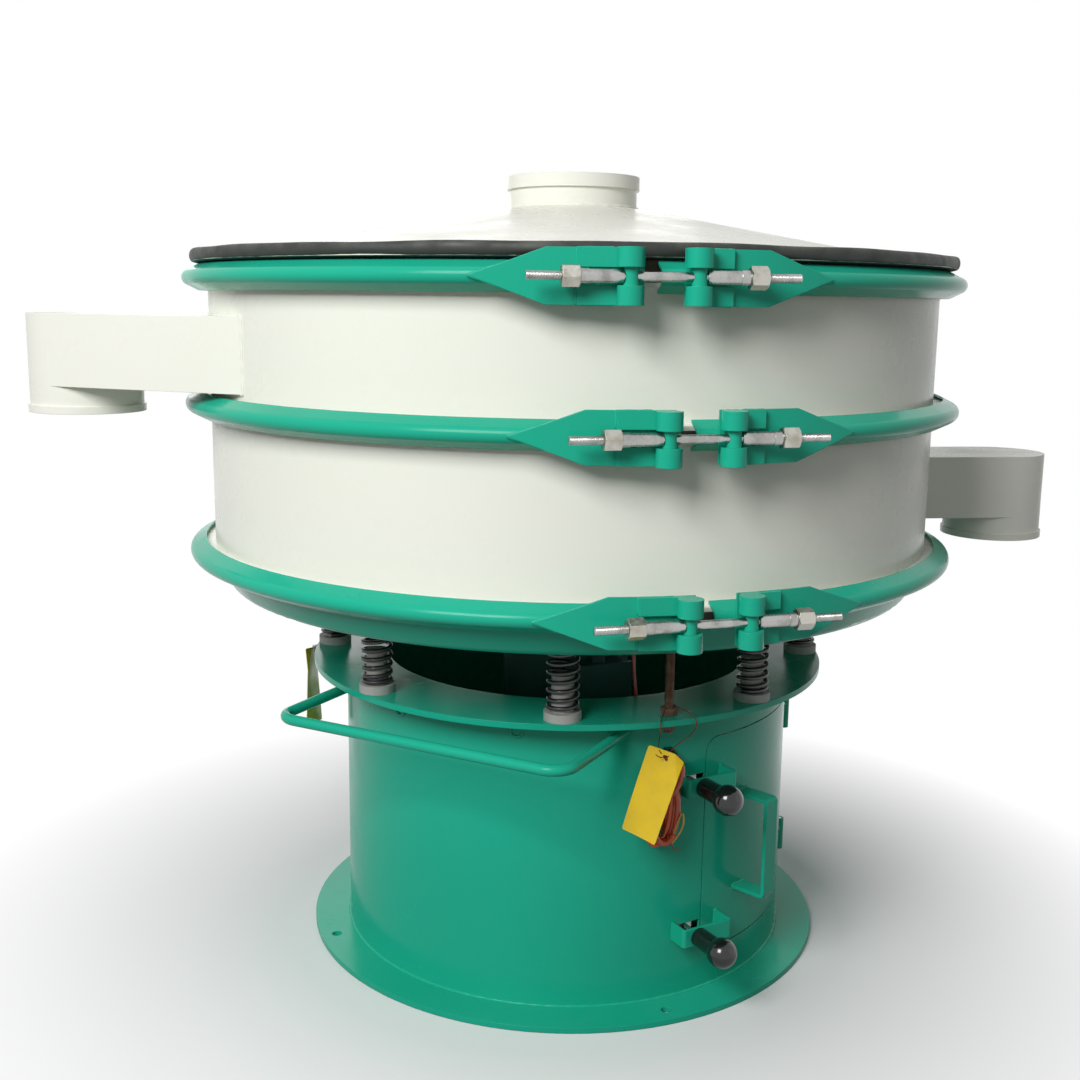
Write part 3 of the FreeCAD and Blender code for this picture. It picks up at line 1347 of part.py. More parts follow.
def cores():
    """The two bare cores at the cable's free end."""
    yellow = [
        beside_hank(22, 1.6, 296),
        beside_hank(28, 5, 281),
        beside_hank(28.5, 5.5, 262),
        beside_hank(21, 5, 246),
        beside_hank(12, 4, 236),
    ]
    brown = [
        beside_hank(7, 1.6, 246),
        beside_hank(10.5, 5, 236),
        beside_hank(15.5, 5, 228),
        beside_hank(23, 4, 226),
    ]
    pieces = [tube("yellow_core", yellow, D.core_radius_bare), tube("brown_core", brown,
                                                                    D.core_radius_bare)]
    node("cable_cores", group("cable_cores", pieces))


def tag_wire(index, tie, hole):
    """A thin wire looped round a transport bolt above its nut and through the tag."""
    height = number(D.base_height + D.tie_nut_height) + 1.2
    rod = polar(tie, D.tie_circle, height)
    out = polar(tie, 1, 0)
    across = V(-out.y, out.x, 0)
    edge = rod + out * 31 + V(0, 0, -6)
    route = [
        hole + across * -1.0 + V(0, 0, 1),
        hole * 0.45 + edge * 0.55 + across * -12 + V(0, 0, 6),
        edge - across * 14,
        rod - across * 10 - out * 2,
        rod - out * 11,
        rod + across * 10 - out * 2,
        edge + across * 14,
        hole * 0.45 + edge * 0.55 + across * 12 + V(0, 0, 6),
        hole + across * 1.0 + V(0, 0, 1),
    ]
    return tube(f"tag_wire_{index}", route, D.tag_wire)


# bearing and lean of each tag
TAGS = (
    (14.5, 16.0),
    (-99.5, -6.0),
    (140.5, 8.0),
)


def tags():
    plates = []
    reach, middle = D.base_radius + D.tag_out, D.top_flange_low - D.tag_drop
    for k, (bearing, tilt) in enumerate(TAGS):
        plate = padded(f"tag_{k}", rounded_rectangle(-D.tag_width / 2, D.tag_width / 2,
                                                     -D.tag_height / 2, D.tag_height / 2, size(3)),
                       "XZ_Plane", D.tag_sheet)
        holder = group(f"tag_{k}_tilted", [plate])
        lean = FreeCAD.Rotation(V(0, 1, 0), tilt)
        face = FreeCAD.Rotation(Z_AXIS, bearing)
        holder.Placement = FreeCAD.Placement(polar(bearing, number(reach), number(middle)),
                                             face.multiply(lean))
        plates.append(holder)
        hole = holder.Placement.multVec(V(0, -number(D.tag_sheet), number(D.tag_height) / 2 - 6))
        plates.append(tag_wire(k, TIES[(0, 2, 1)[k]], hole))
    node("warning_tags", group("warning_tags", plates))


def build():
    base_shell()
    base_flanges()
    towing_rail()
    door()
    hinges()
    latches()
    springs()
    transport_bolts()
    tray()
    dome()
    frames()
    seals_and_screen()
    lid()
    clamps()
    motor()
    weights()
    terminal_box()
    cable()
    tags()


def check(item):
    bad = [state for state in item.State if state in ("Invalid", "Error")]
    if bad:
        raise RuntimeError(f"{item.Name} is {bad}")


def export():
    DOC.recompute()
    for item in DOC.Objects:
        check(item)
    os.makedirs("parts", exist_ok=True)
    for label, item in NODES:
        shape = item.Shape
        if shape.isNull() or not shape.isValid() or not shape.Solids:
            raise RuntimeError(f"{label} has no valid solid")
    for label, item in NODES:
        item.Shape.exportStep(f"parts/{label}.step")
    print(f"{len(NODES)} nodes, {sum(len(item.Shape.Solids) for label, item in NODES)} solids")


build()
export()
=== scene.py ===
"""The looks of a round vibrating sieve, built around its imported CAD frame.

Metres, in the frame's own axes: the origin is on the machine's axis at the floor, +Z is up
and the front is -Y. A bearing is counted from the front towards +X, in degrees.
"""

import json
import math
import random

import bmesh
import bpy
import numpy as np
from mathutils import Matrix, Vector


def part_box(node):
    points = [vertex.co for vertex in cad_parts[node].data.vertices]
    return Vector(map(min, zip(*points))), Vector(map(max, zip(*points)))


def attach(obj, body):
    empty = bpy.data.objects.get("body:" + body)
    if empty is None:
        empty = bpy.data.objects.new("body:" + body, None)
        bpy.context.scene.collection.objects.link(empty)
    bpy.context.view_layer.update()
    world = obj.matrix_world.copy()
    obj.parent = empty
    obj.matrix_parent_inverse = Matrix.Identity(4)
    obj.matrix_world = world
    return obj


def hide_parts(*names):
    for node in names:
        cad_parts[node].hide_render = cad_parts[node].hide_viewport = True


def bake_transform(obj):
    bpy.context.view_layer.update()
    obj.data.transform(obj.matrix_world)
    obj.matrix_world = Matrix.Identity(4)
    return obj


MM = 0.001
Z_AXIS = Vector((0, 0, 1))

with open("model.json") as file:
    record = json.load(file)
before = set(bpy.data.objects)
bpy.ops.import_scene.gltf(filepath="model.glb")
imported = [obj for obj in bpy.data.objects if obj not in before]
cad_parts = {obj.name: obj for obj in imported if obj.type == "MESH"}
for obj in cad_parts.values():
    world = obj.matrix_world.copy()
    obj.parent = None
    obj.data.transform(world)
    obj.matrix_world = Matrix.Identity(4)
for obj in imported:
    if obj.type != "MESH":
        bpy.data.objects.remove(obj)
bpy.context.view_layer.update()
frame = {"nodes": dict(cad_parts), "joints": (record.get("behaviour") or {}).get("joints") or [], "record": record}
NODES = frame["nodes"]


# ---------------------------------------------------------------- places in the frame

def polar(bearing, radius, height):
    """A point from a bearing in degrees and two lengths in metres."""
    angle = math.radians(bearing)
    return Vector((radius * math.sin(angle), -radius * math.cos(angle), height))


def turned(point, bearing):
    """A point drawn at the front, turned about Z to a bearing."""
    return Matrix.Rotation(math.radians(bearing), 3, "Z") @ Vector(point)


def bearing_of(point):
    return math.degrees(math.atan2(point[0], -point[1]))


def corners(node):
    """The node's vertices as an array."""
    points = np.empty(len(NODES[node].data.vertices) * 3)
    NODES[node].data.vertices.foreach_get("co", points)
    return points.reshape(-1, 3)


def reach(node):
    """The largest distance of a node from the machine's axis."""
    points = corners(node)
    return float(np.hypot(points[:, 0], points[:, 1]).max())


def solids(node):
    """The vertices of each separate solid of a node, in order of bearing and height."""
    points = corners(node)
    keys = np.round(points / (0.02 * MM)).astype(np.int64)
    unique, inverse = np.unique(keys, axis=0, return_inverse=True)
    inverse = inverse.ravel()
    parent = list(range(len(unique)))

    def root(k):
        while parent[k] != k:
            parent[k] = parent[parent[k]]
            k = parent[k]
        return k

    for edge in NODES[node].data.edges:
        a, b = (root(int(inverse[v])) for v in edge.vertices)
        parent[a] = b
    groups = {}
    for index, key in enumerate(inverse):
        groups.setdefault(root(int(key)), []).append(index)
    found = [points[members] for members in groups.values()]

    def order(cloud):
        centre = (cloud.min(0) + cloud.max(0)) / 2
        return round(bearing_of(centre), 1), round(float(centre[2]), 4)

    return sorted(found, key=order)


def middle(cloud):
    return Vector((cloud.min(0) + cloud.max(0)) / 2)


# ---------------------------------------------------------------- finishes

class Finish:
    """A Principled material; its methods add texture nodes and join them to it."""

    def __init__(self, name, color, roughness, **constants):
        self.material = bpy.data.materials.new(name)
        self.material.use_nodes = True
        self.tree = self.material.node_tree
        self.shader = self.tree.nodes["Principled BSDF"]
        self.color = tuple(color) + (1.0,)
        self.shader.inputs["Base Color"].default_value = self.color
        self.shader.inputs["Roughness"].default_value = roughness
        for key, value in constants.items():
            self.shader.inputs[key.replace("_", " ")].default_value = value
        self.place = self.add("ShaderNodeTexCoord").outputs["Object"]
        self.bumped = None

    def add(self, kind, **settings):
        node = self.tree.nodes.new(kind)
        for key, value in settings.items():
            setattr(node, key, value)
        return node

    def join(self, source, target):
        self.tree.links.new(source, target)

    def noise(self, scale, detail=3.0, rough=0.55):
        node = self.add("ShaderNodeTexNoise")
        node.inputs["Scale"].default_value = scale
        node.inputs["Detail"].default_value = detail
        node.inputs["Roughness"].default_value = rough
        self.join(self.place, node.inputs["Vector"])
        return node.outputs["Fac"]

    def span(self, value, low, high, to_low=0.0, to_high=1.0):
        """The value's stretch from low to high, mapped to a new stretch and clamped."""
        node = self.add("ShaderNodeMapRange")
        for socket, number in zip(("From Min", "From Max", "To Min", "To Max"),
                                  (low, high, to_low, to_high)):
            node.inputs[socket].default_value = number
        self.join(value, node.inputs["Value"])
        return node.outputs["Result"]

    def times(self, first, second):
        node = self.add("ShaderNodeMath", operation="MULTIPLY")
        for socket, value in zip(node.inputs, (first, second)):
            if isinstance(value, float):
                socket.default_value = value
            else:
                self.join(value, socket)
        return node.outputs["Value"]

    def blend(self, share, first, second):
        """A mix of two colours, each a tuple or another mix."""
        node = self.add("ShaderNodeMix", data_type="RGBA")
        self.join(share, node.inputs["Factor"])
        for socket, value in (("A", first), ("B", second)):
            target = [s for s in node.inputs if s.name == socket and s.type == "RGBA"][0]
            if isinstance(value, tuple):
                target.default_value = value[:3] + (1.0,)
            else:
                self.join(value, target)
        return [s for s in node.outputs if s.type == "RGBA"][0]

    def edges(self, radius, low=0.02, high=0.25):
        """1 on outer and inner edges, from how far a rounded normal leaves the true one."""
        bevel = self.add("ShaderNodeBevel", samples=6)
        bevel.inputs["Radius"].default_value = radius
        dot = self.add("ShaderNodeVectorMath", operation="DOT_PRODUCT")
        self.join(bevel.outputs["Normal"], dot.inputs[0])
        self.join(self.add("ShaderNodeNewGeometry").outputs["Normal"], dot.inputs[1])
        return self.span(dot.outputs["Value"], 1.0 - low, 1.0 - high)

    def facing_up(self, low=0.3, high=0.95):
        """1 where the surface looks up, which is where dust lies."""
        split = self.add("ShaderNodeSeparateXYZ")
        self.join(self.add("ShaderNodeNewGeometry").outputs["Normal"], split.inputs["Vector"])
        return self.span(split.outputs["Z"], low, high)

    def paint(self, color):
        self.join(color, self.shader.inputs["Base Color"])
        return self

    def rough(self, value):
        self.join(value, self.shader.inputs["Roughness"])
        return self

    def bump(self, height, strength, distance=0.001):
        """One more layer of bumps over those before it."""
        node = self.add("ShaderNodeBump")
        node.inputs["Strength"].default_value = strength
        node.inputs["Distance"].default_value = distance
        self.join(height, node.inputs["Height"])
        if self.bumped is not None:
            self.join(self.bumped, node.inputs["Normal"])
        self.bumped = node.outputs["Normal"]
        self.join(self.bumped, self.shader.inputs["Normal"])
        return self

    def soft_edges(self, radius):
        """Round the shading of sharp edges, as paint and a deburred edge do."""
        bevel = self.add("ShaderNodeBevel", samples=6)
        bevel.inputs["Radius"].default_value = radius
        self.bumped = bevel.outputs["Normal"]
        self.join(self.bumped, self.shader.inputs["Normal"])
        return self


def linear(red, green, blue):
    """An 8-bit display colour as scene-linear numbers."""
    def one(value):
        share = value / 255
        return share / 12.92 if share <= 0.04045 else ((share + 0.055) / 1.055) ** 2.4
    return one(red), one(green), one(blue)


def enamel(name, color, shade, worn, roughness, dust, specular):
    """Sprayed gloss enamel: faint waves, orange peel, dust and worn edges."""
    finish = Finish(name, color, roughness, Specular_IOR_Level=specular)
    finish.soft_edges(1.2 * MM)
    tone = finish.blend(finish.span(finish.noise(2.3, 1.0), 0.25, 0.8), color, shade)
    tone = finish.blend(finish.times(finish.span(finish.noise(70.0, 3.0), 0.6, 0.8), 0.25),
                        tone, shade)
    chips = finish.times(finish.edges(0.8 * MM),
                         finish.span(finish.noise(160.0, 2.0), 0.62, 0.68))
    tone = finish.blend(chips, tone, worn)
    film = finish.times(finish.facing_up(), finish.span(finish.noise(9.0, 5.0), 0.4, 0.75))
    tone = finish.blend(finish.times(film, 0.1), tone, dust)
    finish.paint(tone)
    finish.rough(finish.span(finish.noise(14.0, 4.0), 0.3, 0.75, roughness * 0.8,
                             roughness * 1.5))
    finish.bump(finish.noise(5.0, 1.0), 0.03, 4 * MM)
    finish.bump(finish.noise(420.0, 2.0), 0.03, 0.3 * MM)
    return finish.material


def bare_steel(name, color, dark, roughness):
    finish = Finish(name, color, roughness, Metallic=1.0)
    finish.soft_edges(0.4 * MM)
    stain = finish.span(finish.noise(60.0, 4.0), 0.45, 0.7)
    finish.paint(finish.blend(finish.times(stain, 0.7), color, dark))
    finish.rough(finish.span(finish.noise(220.0, 3.0), 0.3, 0.7,
                             roughness * 0.75, roughness * 1.5))
    finish.bump(finish.noise(900.0, 2.0), 0.12, 0.1 * MM)
    return finish.material


def rusty(name):
    finish = Finish(name, (0.16, 0.10, 0.065), 0.75, Metallic=0.35)
    patch = finish.span(finish.noise(90.0, 6.0, 0.7), 0.42, 0.62)
    finish.paint(finish.blend(patch, (0.19, 0.13, 0.09), (0.13, 0.055, 0.025)))
    finish.bump(finish.noise(500.0, 4.0), 0.4, 0.3 * MM)
    return finish.material


def rubber(name, color, pale, roughness=0.62):
    """Moulded rubber with settled dust."""
    finish = Finish(name, color, roughness, Specular_IOR_Level=0.35)
    finish.soft_edges(1.0 * MM)
    dust = finish.span(finish.noise(22.0, 6.0, 0.65), 0.42, 0.72)
    up = finish.facing_up(-0.2, 0.9)
    finish.paint(finish.blend(finish.times(dust, up), color, pale))
    finish.rough(finish.span(finish.noise(40.0, 4.0), 0.35, 0.7, roughness * 0.85,
                             min(1.0, roughness * 1.25)))
    finish.bump(finish.noise(350.0, 3.0), 0.15, 0.25 * MM)
    return finish.material


def plastic(name, color, roughness, grain=0.0):
    finish = Finish(name, color, roughness, Coat_Weight=0.3, Coat_Roughness=0.05)
    smudge = finish.span(finish.noise(45.0, 4.0), 0.35, 0.75, roughness * 0.7, roughness * 1.8)
    finish.rough(smudge)
    tone = finish.span(finish.noise(28.0, 3.0), 0.3, 0.75)
    finish.paint(finish.blend(tone, color, tuple(c * 0.8 for c in color)))
    finish.bump(finish.noise(600.0, 2.0), 0.03 + grain, 0.2 * MM)
    return finish.material


FINISHES = {
    "green_paint": enamel("green_enamel", linear(30, 178, 148), linear(26, 164, 134),
                          linear(92, 120, 132), 0.2, linear(90, 180, 155), 0.14),
    "cream_paint": enamel("cream_enamel", linear(238, 238, 228), linear(230, 231, 220),
                          linear(170, 168, 158), 0.26, linear(206, 204, 194), 0.12),
    "motor_paint": enamel("motor_enamel", linear(52, 96, 88), linear(44, 84, 78),
                          linear(110, 110, 105), 0.4, linear(120, 120, 110), 0.3),
    "steel": bare_steel("turned_steel", linear(178, 178, 176), linear(132, 130, 126), 0.26),
    "rusty_steel": rusty("rusty_rod"),
    "spring_steel": plastic("spring_black", linear(28, 30, 29), 0.35, 0.05),
    "nut_steel": bare_steel("plated_nut", linear(190, 188, 180), linear(146, 138, 118), 0.3),
    "brown_core": plastic("brown_sheath", linear(96, 48, 30), 0.4),
    "tie_wire": bare_steel("tie_wire", linear(112, 52, 38), linear(80, 36, 26), 0.5),
    "mesh_steel": bare_steel("woven_wire", linear(175, 176, 172), linear(120, 120, 116), 0.4),
    "cast_weight": bare_steel("cast_iron", linear(92, 90, 86), linear(60, 58, 55), 0.55),
    "pad_rubber": rubber("grey_pad", linear(176, 174, 170), linear(196, 194, 188), 0.6),
    "seal_rubber": rubber("black_rubber", linear(44, 47, 44), linear(92, 96, 88), 0.55),
    "black_plastic": plastic("knob_black", linear(22, 24, 23), 0.14),
    "cable_sheath": plastic("orange_sheath", linear(214, 82, 26), 0.34),
    "lead_sheath": plastic("red_sheath", linear(160, 26, 20), 0.36),
    "core_sheath": plastic("yellow_sheath", linear(226, 176, 48), 0.36),
    "tag_plastic": plastic("yellow_card", linear(232, 196, 12), 0.42, 0.02),
}


def dress_nodes():
    """Every CAD node takes the finish of its slot."""
    slots = {row["node"]: row["material_slot"] for row in frame["record"]["subparts"]}
    for name, node in NODES.items():
        for slot in node.material_slots:
            slot.material = FINISHES[slots[name]]


# ---------------------------------------------------------------- mesh tools

def add_piece(name, points, faces, finish, body, angle=35.0):
    """A mesh object that rides on a body, smooth but for edges sharper than `angle`."""
    mesh = bpy.data.meshes.new(name)
    mesh.from_pydata([tuple(p) for p in points], [], faces)
    mesh.validate()
    work = bmesh.new()
    work.from_mesh(mesh)
    bmesh.ops.recalc_face_normals(work, faces=work.faces)
    work.to_mesh(mesh)
    work.free()
    mesh.polygons.foreach_set("use_smooth", [True] * len(mesh.polygons))
    mesh.set_sharp_from_angle(angle=math.radians(angle))
    mesh.materials.append(finish)
    piece = bpy.data.objects.new(name, mesh)
    bpy.context.scene.collection.objects.link(piece)
    if body:
        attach(piece, body)
    return piece


class Build:
    """Points and faces gathered from several forms into one mesh."""

    def __init__(self):
        self.points = []
        self.faces = []

    def rows(self, rows, close_ends=False, cap=False, place=None):
        """Quads between rows of points; each row is a ring."""
        first = len(self.points)
        width = len(rows[0])
        for row in rows:
            self.points.extend(place @ Vector(p) if place else Vector(p) for p in row)
        count = len(rows)
        for i in range(count if close_ends else count - 1):
            for j in range(width):
                a, b = first + i * width + j, first + i * width + (j + 1) % width
                step = ((i + 1) % count - i) * width
                self.faces.append((a, b, b + step, a + step))
        if cap:
            self.faces.append(tuple(first + j for j in reversed(range(width))))
            last = first + (count - 1) * width
            self.faces.append(tuple(last + j for j in range(width)))
        return self

    def lathe(self, profile, steps=48, place=None, cap=False):
        """Turn a profile of (radius, height) pairs about Z."""
        turns = [2 * math.pi * k / steps for k in range(steps)]
        rows = [[(r * math.sin(t), -r * math.cos(t), z) for t in turns] for r, z in profile]
        return self.rows(rows, cap=cap, place=place)

    def sweep(self, route, radius, sides=10, closed=False):
        """A round bar along a route; radius is a number or one for each point."""
        route = [Vector(p) for p in route]
        count = len(route)
        radii = radius if isinstance(radius, (list, tuple)) else [radius] * count
        normal = None
        rows = []
        for k, point in enumerate(route):
            ahead = route[(k + 1) % count] if closed or k < count - 1 else point
            behind = route[k - 1] if closed or k else point
            along = (ahead - behind).normalized()
            if normal is None:
                other = Z_AXIS if abs(along.z) < 0.9 else Vector((1, 0, 0))
                normal = along.cross(other).normalized()
            normal = (normal - along * normal.dot(along)).normalized()
            across = along.cross(normal)
            rows.append([point + (normal * math.cos(a) + across * math.sin(a)) * radii[k]
                         for a in (2 * math.pi * j / sides for j in range(sides))])
        return self.rows(rows, cap=not closed, close_ends=closed)

    def piece(self, name, finish, body, slot=None, angle=35.0):
        return add_piece(name, self.points, self.faces, finish, body, angle)


def axis_frame(start, along):
    """A matrix that takes +Z to `along` and the origin to `start`."""
    return Matrix.Translation(start) @ Vector(along).to_track_quat("Z", "Y").to_matrix().to_4x4()


def smooth_route(points, steps):
    """A Catmull-Rom curve through the points."""
    points = [Vector(p) for p in points]
    count = len(points)
    route = []
    for k in range(count - 1):
        b, c = points[k], points[k + 1]
        a = points[k - 1] if k else b * 2 - c
        d = points[k + 2] if k + 2 < count else c * 2 - b
        for step in range(steps):
            t = step / steps
            route.append(0.5 * (2 * b + (c - a) * t + (2 * a - 5 * b + 4 * c - d) * t ** 2
                                + (3 * b - a - 3 * c + d) * t ** 3))
    route.append(points[-1])
    return route


# ---------------------------------------------------------------- springs

SPRING_WIRE = 2.8 * MM
SPRING_TURNS = 9.0


def make_springs():
    """Eight coil springs with closed ends, from their seats on the base up to the deck."""
    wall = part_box("springs")
    low, high = wall[0][2], wall[1][2]
    build = Build()
    for cloud in solids("springs"):
        centre = middle(cloud)
        outer = (cloud[:, 0].max() - cloud[:, 0].min()) / 2
        radius = outer - SPRING_WIRE
        free = (high - low - 2 * SPRING_WIRE - 4 * SPRING_WIRE) / (SPRING_TURNS - 2)
        steps = 26
        route = []
        begin = math.radians(bearing_of(centre)) * 5
        for k in range(int(SPRING_TURNS * steps) + 1):
            turn = k / steps
            open_turns = min(max(turn - 1, 0), SPRING_TURNS - 2)
            closed_turns = turn - open_turns
            height = low + SPRING_WIRE + closed_turns * 2 * SPRING_WIRE + open_turns * free
            angle = begin + 2 * math.pi * turn
            route.append((centre.x + radius * math.cos(angle),
                          centre.y + radius * math.sin(angle), height))
        build.sweep(route, SPRING_WIRE, sides=10)
    piece = build.piece("coil_springs", FINISHES["spring_steel"], None, "spring_steel", 50)
    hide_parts("springs")
    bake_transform(piece)


# ---------------------------------------------------------------- rods and nuts

def threaded(build, start, end, radius, pitch, chamfer=0.8 * MM, sides=20, samples=4):
    """A screw thread from start to end, as one helical surface with chamfered ends."""
    start, end = Vector(start), Vector(end)
    length = (end - start).length
    rows = []
    count = max(4, int(length / pitch * samples))
    depth = 0.6 * pitch
    for k in range(count + 1):
        along = length * k / count
        inset = max(0.0, chamfer - min(along, length - along))
        row = []
        for j in range(sides):
            phase = (along / pitch - j / sides) % 1.0
            groove = depth * abs(2 * phase - 1)
            reach = radius - max(groove, inset)
            angle = 2 * math.pi * j / sides
            row.append((reach * math.cos(angle), reach * math.sin(angle), along))
        rows.append(row)
    build.rows(rows, cap=True, place=axis_frame(start, end - start))


def plain_bar(build, start, end, radius, sides=28):
    start, end = Vector(start), Vector(end)
    length = (end - start).length
    build.lathe([(radius, 0), (radius, length)], sides, axis_frame(start, end - start), cap=True)


def bar_ends(cloud):
    """The two end points of a long round solid."""
    centre = np.array(middle(cloud))
    spread = cloud - cloud.mean(0)
    along = np.linalg.svd(spread, full_matrices=False)[2][0]
    reach = (cloud - centre) @ along
    return Vector(centre + along * reach.min()), Vector(centre + along * reach.max())


TIE_ROD_PLAIN = 44 * MM
TIE_ROD_RADIUS = 5.0 * MM
BOLT_RADIUS = 6.0 * MM


def make_threads():
    """The closures' tie rods and the transport bolts, with modelled threads."""
    rods = Build()
    for cloud in solids("tie_rods"):
        start, end = bar_ends(cloud)
        centre = (start + end) / 2
        along = (end - start).normalized()
        inner = [centre - along * TIE_ROD_PLAIN, centre + along * TIE_ROD_PLAIN]
        plain_bar(rods, inner[0], inner[1], TIE_ROD_RADIUS * 0.96)
        threaded(rods, inner[1], end, TIE_ROD_RADIUS, 1.5 * MM)
        threaded(rods, inner[0], start, TIE_ROD_RADIUS, 1.5 * MM)
    piece = rods.piece("threaded_tie_rods", FINISHES["steel"], "sieve", "steel", 60)
    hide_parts("tie_rods")
    bolts = Build()
    for cloud in solids("transport_bolts"):
        start, end = bar_ends(cloud)
        threaded(bolts, start, end, BOLT_RADIUS, 1.75 * MM, 1.2 * MM)
    piece = bolts.piece("threaded_transport_bolts", FINISHES["rusty_steel"], "base",
                        "rusty_steel", 60)
    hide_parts("transport_bolts")


def hex_nut(build, centre, along, corner, length, bore, spin=0.0):
    """A hexagon nut with chamfered corners and a countersunk bore."""
    flat = corner * math.cos(math.pi / 6)
    washer = flat * 0.95
    steps = 60
    rows = []

    def row(radius_at, height_at):
        ring = []
        for j in range(steps):
            angle = 2 * math.pi * j / steps
            side = math.pi / 3
            hexagon = flat / math.cos((angle + side / 2) % side - side / 2)
            reach = radius_at(hexagon)
            ring.append((reach * math.cos(angle + spin), reach * math.sin(angle + spin),
                         height_at(hexagon)))
        rows.append(ring)

    half = length / 2
    fall = math.tan(math.radians(30))
    row(lambda h: bore, lambda h: -half + 1 * MM)
    row(lambda h: bore + 1 * MM, lambda h: -half)
    row(lambda h: washer, lambda h: -half)
    row(lambda h: h, lambda h: -half + (h - washer) * fall)
    row(lambda h: h, lambda h: half - (h - washer) * fall)
    row(lambda h: washer, lambda h: half)
    row(lambda h: bore + 1 * MM, lambda h: half)
    row(lambda h: bore, lambda h: half - 1 * MM)
    build.rows(rows, close_ends=True, place=axis_frame(centre, along))


def make_nuts():
    """Clamp nuts on their tie rods, and the transport nuts."""
    for place in ("top", "middle", "bottom"):
        for side in ("left", "right"):
            node = f"{place}_ring_{side}_nut"
            joint = [j for j in frame["joints"] if j["child"] == f"{place}_{side}_nut"][0]
            along = Vector(joint["axis"])
            cloud = corners(node)
            centre = Vector(joint["pos_m"])
            reach = (cloud - np.array(centre)) @ np.array(along)
            centre += along * float((reach.min() + reach.max()) / 2)
            radial = np.linalg.norm(cloud - np.array(centre)
                                    - np.outer((cloud - np.array(centre)) @ np.array(along),
                                               np.array(along)), axis=1)
            build = Build()
            spin = {"top": 0.1, "middle": 0.35, "bottom": 0.75}[place] + (side == "left") * 0.3
            hex_nut(build, centre, along, float(radial.max()),
                    float(reach.max() - reach.min()), TIE_ROD_RADIUS * 0.97, spin)
            piece = build.piece(f"{place}_{side}_hex_nut", FINISHES["nut_steel"],
                                f"{place}_{side}_nut", "steel", 25)
            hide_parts(node)
    build = Build()
    for k, cloud in enumerate(solids("transport_nuts")):
        centre = middle(cloud)
        span = cloud.max(0) - cloud.min(0)
        corner = float(np.linalg.norm((cloud - np.array(centre))[:, :2], axis=1).max())
        hex_nut(build, centre, Z_AXIS, corner, float(span[2]), BOLT_RADIUS * 0.95, 0.5 * k)
    piece = build.piece("transport_hex_nuts", FINISHES["rusty_steel"], "base", "rusty_steel", 25)
    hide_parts("transport_nuts")


# ---------------------------------------------------------------- latch knobs

def make_knobs():
    """Moulded ball knobs: a stout neck that flows into the ball."""
    for place in ("lower", "upper"):
        node = f"{place}_latch_knob"
        cloud = corners(node)
        joint = [j for j in frame["joints"] if j["child"] == f"{place}_latch"][0]
        along = Vector(joint["axis"]).normalized()
        centre = middle(cloud)
        if along.dot(Vector((centre.x, centre.y, 0))) < 0:
            along = -along
        reach = (cloud - np.array(centre)) @ np.array(along)
        ball = (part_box(node)[1][2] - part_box(node)[0][2]) / 2
        face = centre + along * float(reach.min())
        length = float(reach.max() - reach.min())
        middle_at = length - ball
        profile = [(6.0 * MM, 0.0), (11.6 * MM, 0.0), (12.6 * MM, 1.0 * MM)]
        neck = 13.2 * MM
        for k in range(5):
            profile.append((12.8 * MM + 0.4 * MM * k / 4, 1.0 * MM + (middle_at - 18 * MM) * k / 4))
        join = math.asin(neck / ball)
        for k in range(25):
            angle = math.pi - join - (math.pi - join) * k / 24
            profile.append((max(ball * math.sin(angle), 1e-6), middle_at + ball * math.cos(angle)))
        build = Build()
        build.lathe(profile, 40, axis_frame(face, along))
        piece = build.piece(f"{place}_ball_knob", FINISHES["black_plastic"], f"{place}_latch",
                            "black_plastic", 40)
        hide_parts(node)


# ---------------------------------------------------------------- cable, lead and cores

GLAND = 22.5
HANK = 19.5
SHELL = (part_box("base_shell")[1][0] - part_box("base_shell")[0][0]) / 2
CABLE = 8 * MM
CABLE_TURNS = 4
CORE = 2.4 * MM
LEAD = 5 * MM
WIRE = 1.2 * MM


def nurbs_cord(name, points, diameter, finish, body):
    data = bpy.data.curves.new(name, "CURVE")
    data.dimensions = "3D"
    data.bevel_depth = diameter / 2
    data.bevel_resolution = 5
    data.resolution_u = 8
    data.use_fill_caps = True
    spline = data.splines.new("NURBS")
    spline.points.add(len(points) - 1)
    for item, point in zip(spline.points, points):
        item.co = (*point, 1.0)
    spline.order_u = 3
    spline.use_endpoint_u = True
    data.materials.append(finish)
    cord = bpy.data.objects.new(name, data)
    bpy.context.scene.collection.objects.link(cord)
    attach(cord, body)
    return cord


def hank_point(side, depth, height):
    """A point beside the hank's middle line, `depth` outside the shell."""
    return turned((side, -(SHELL + depth), height), HANK)


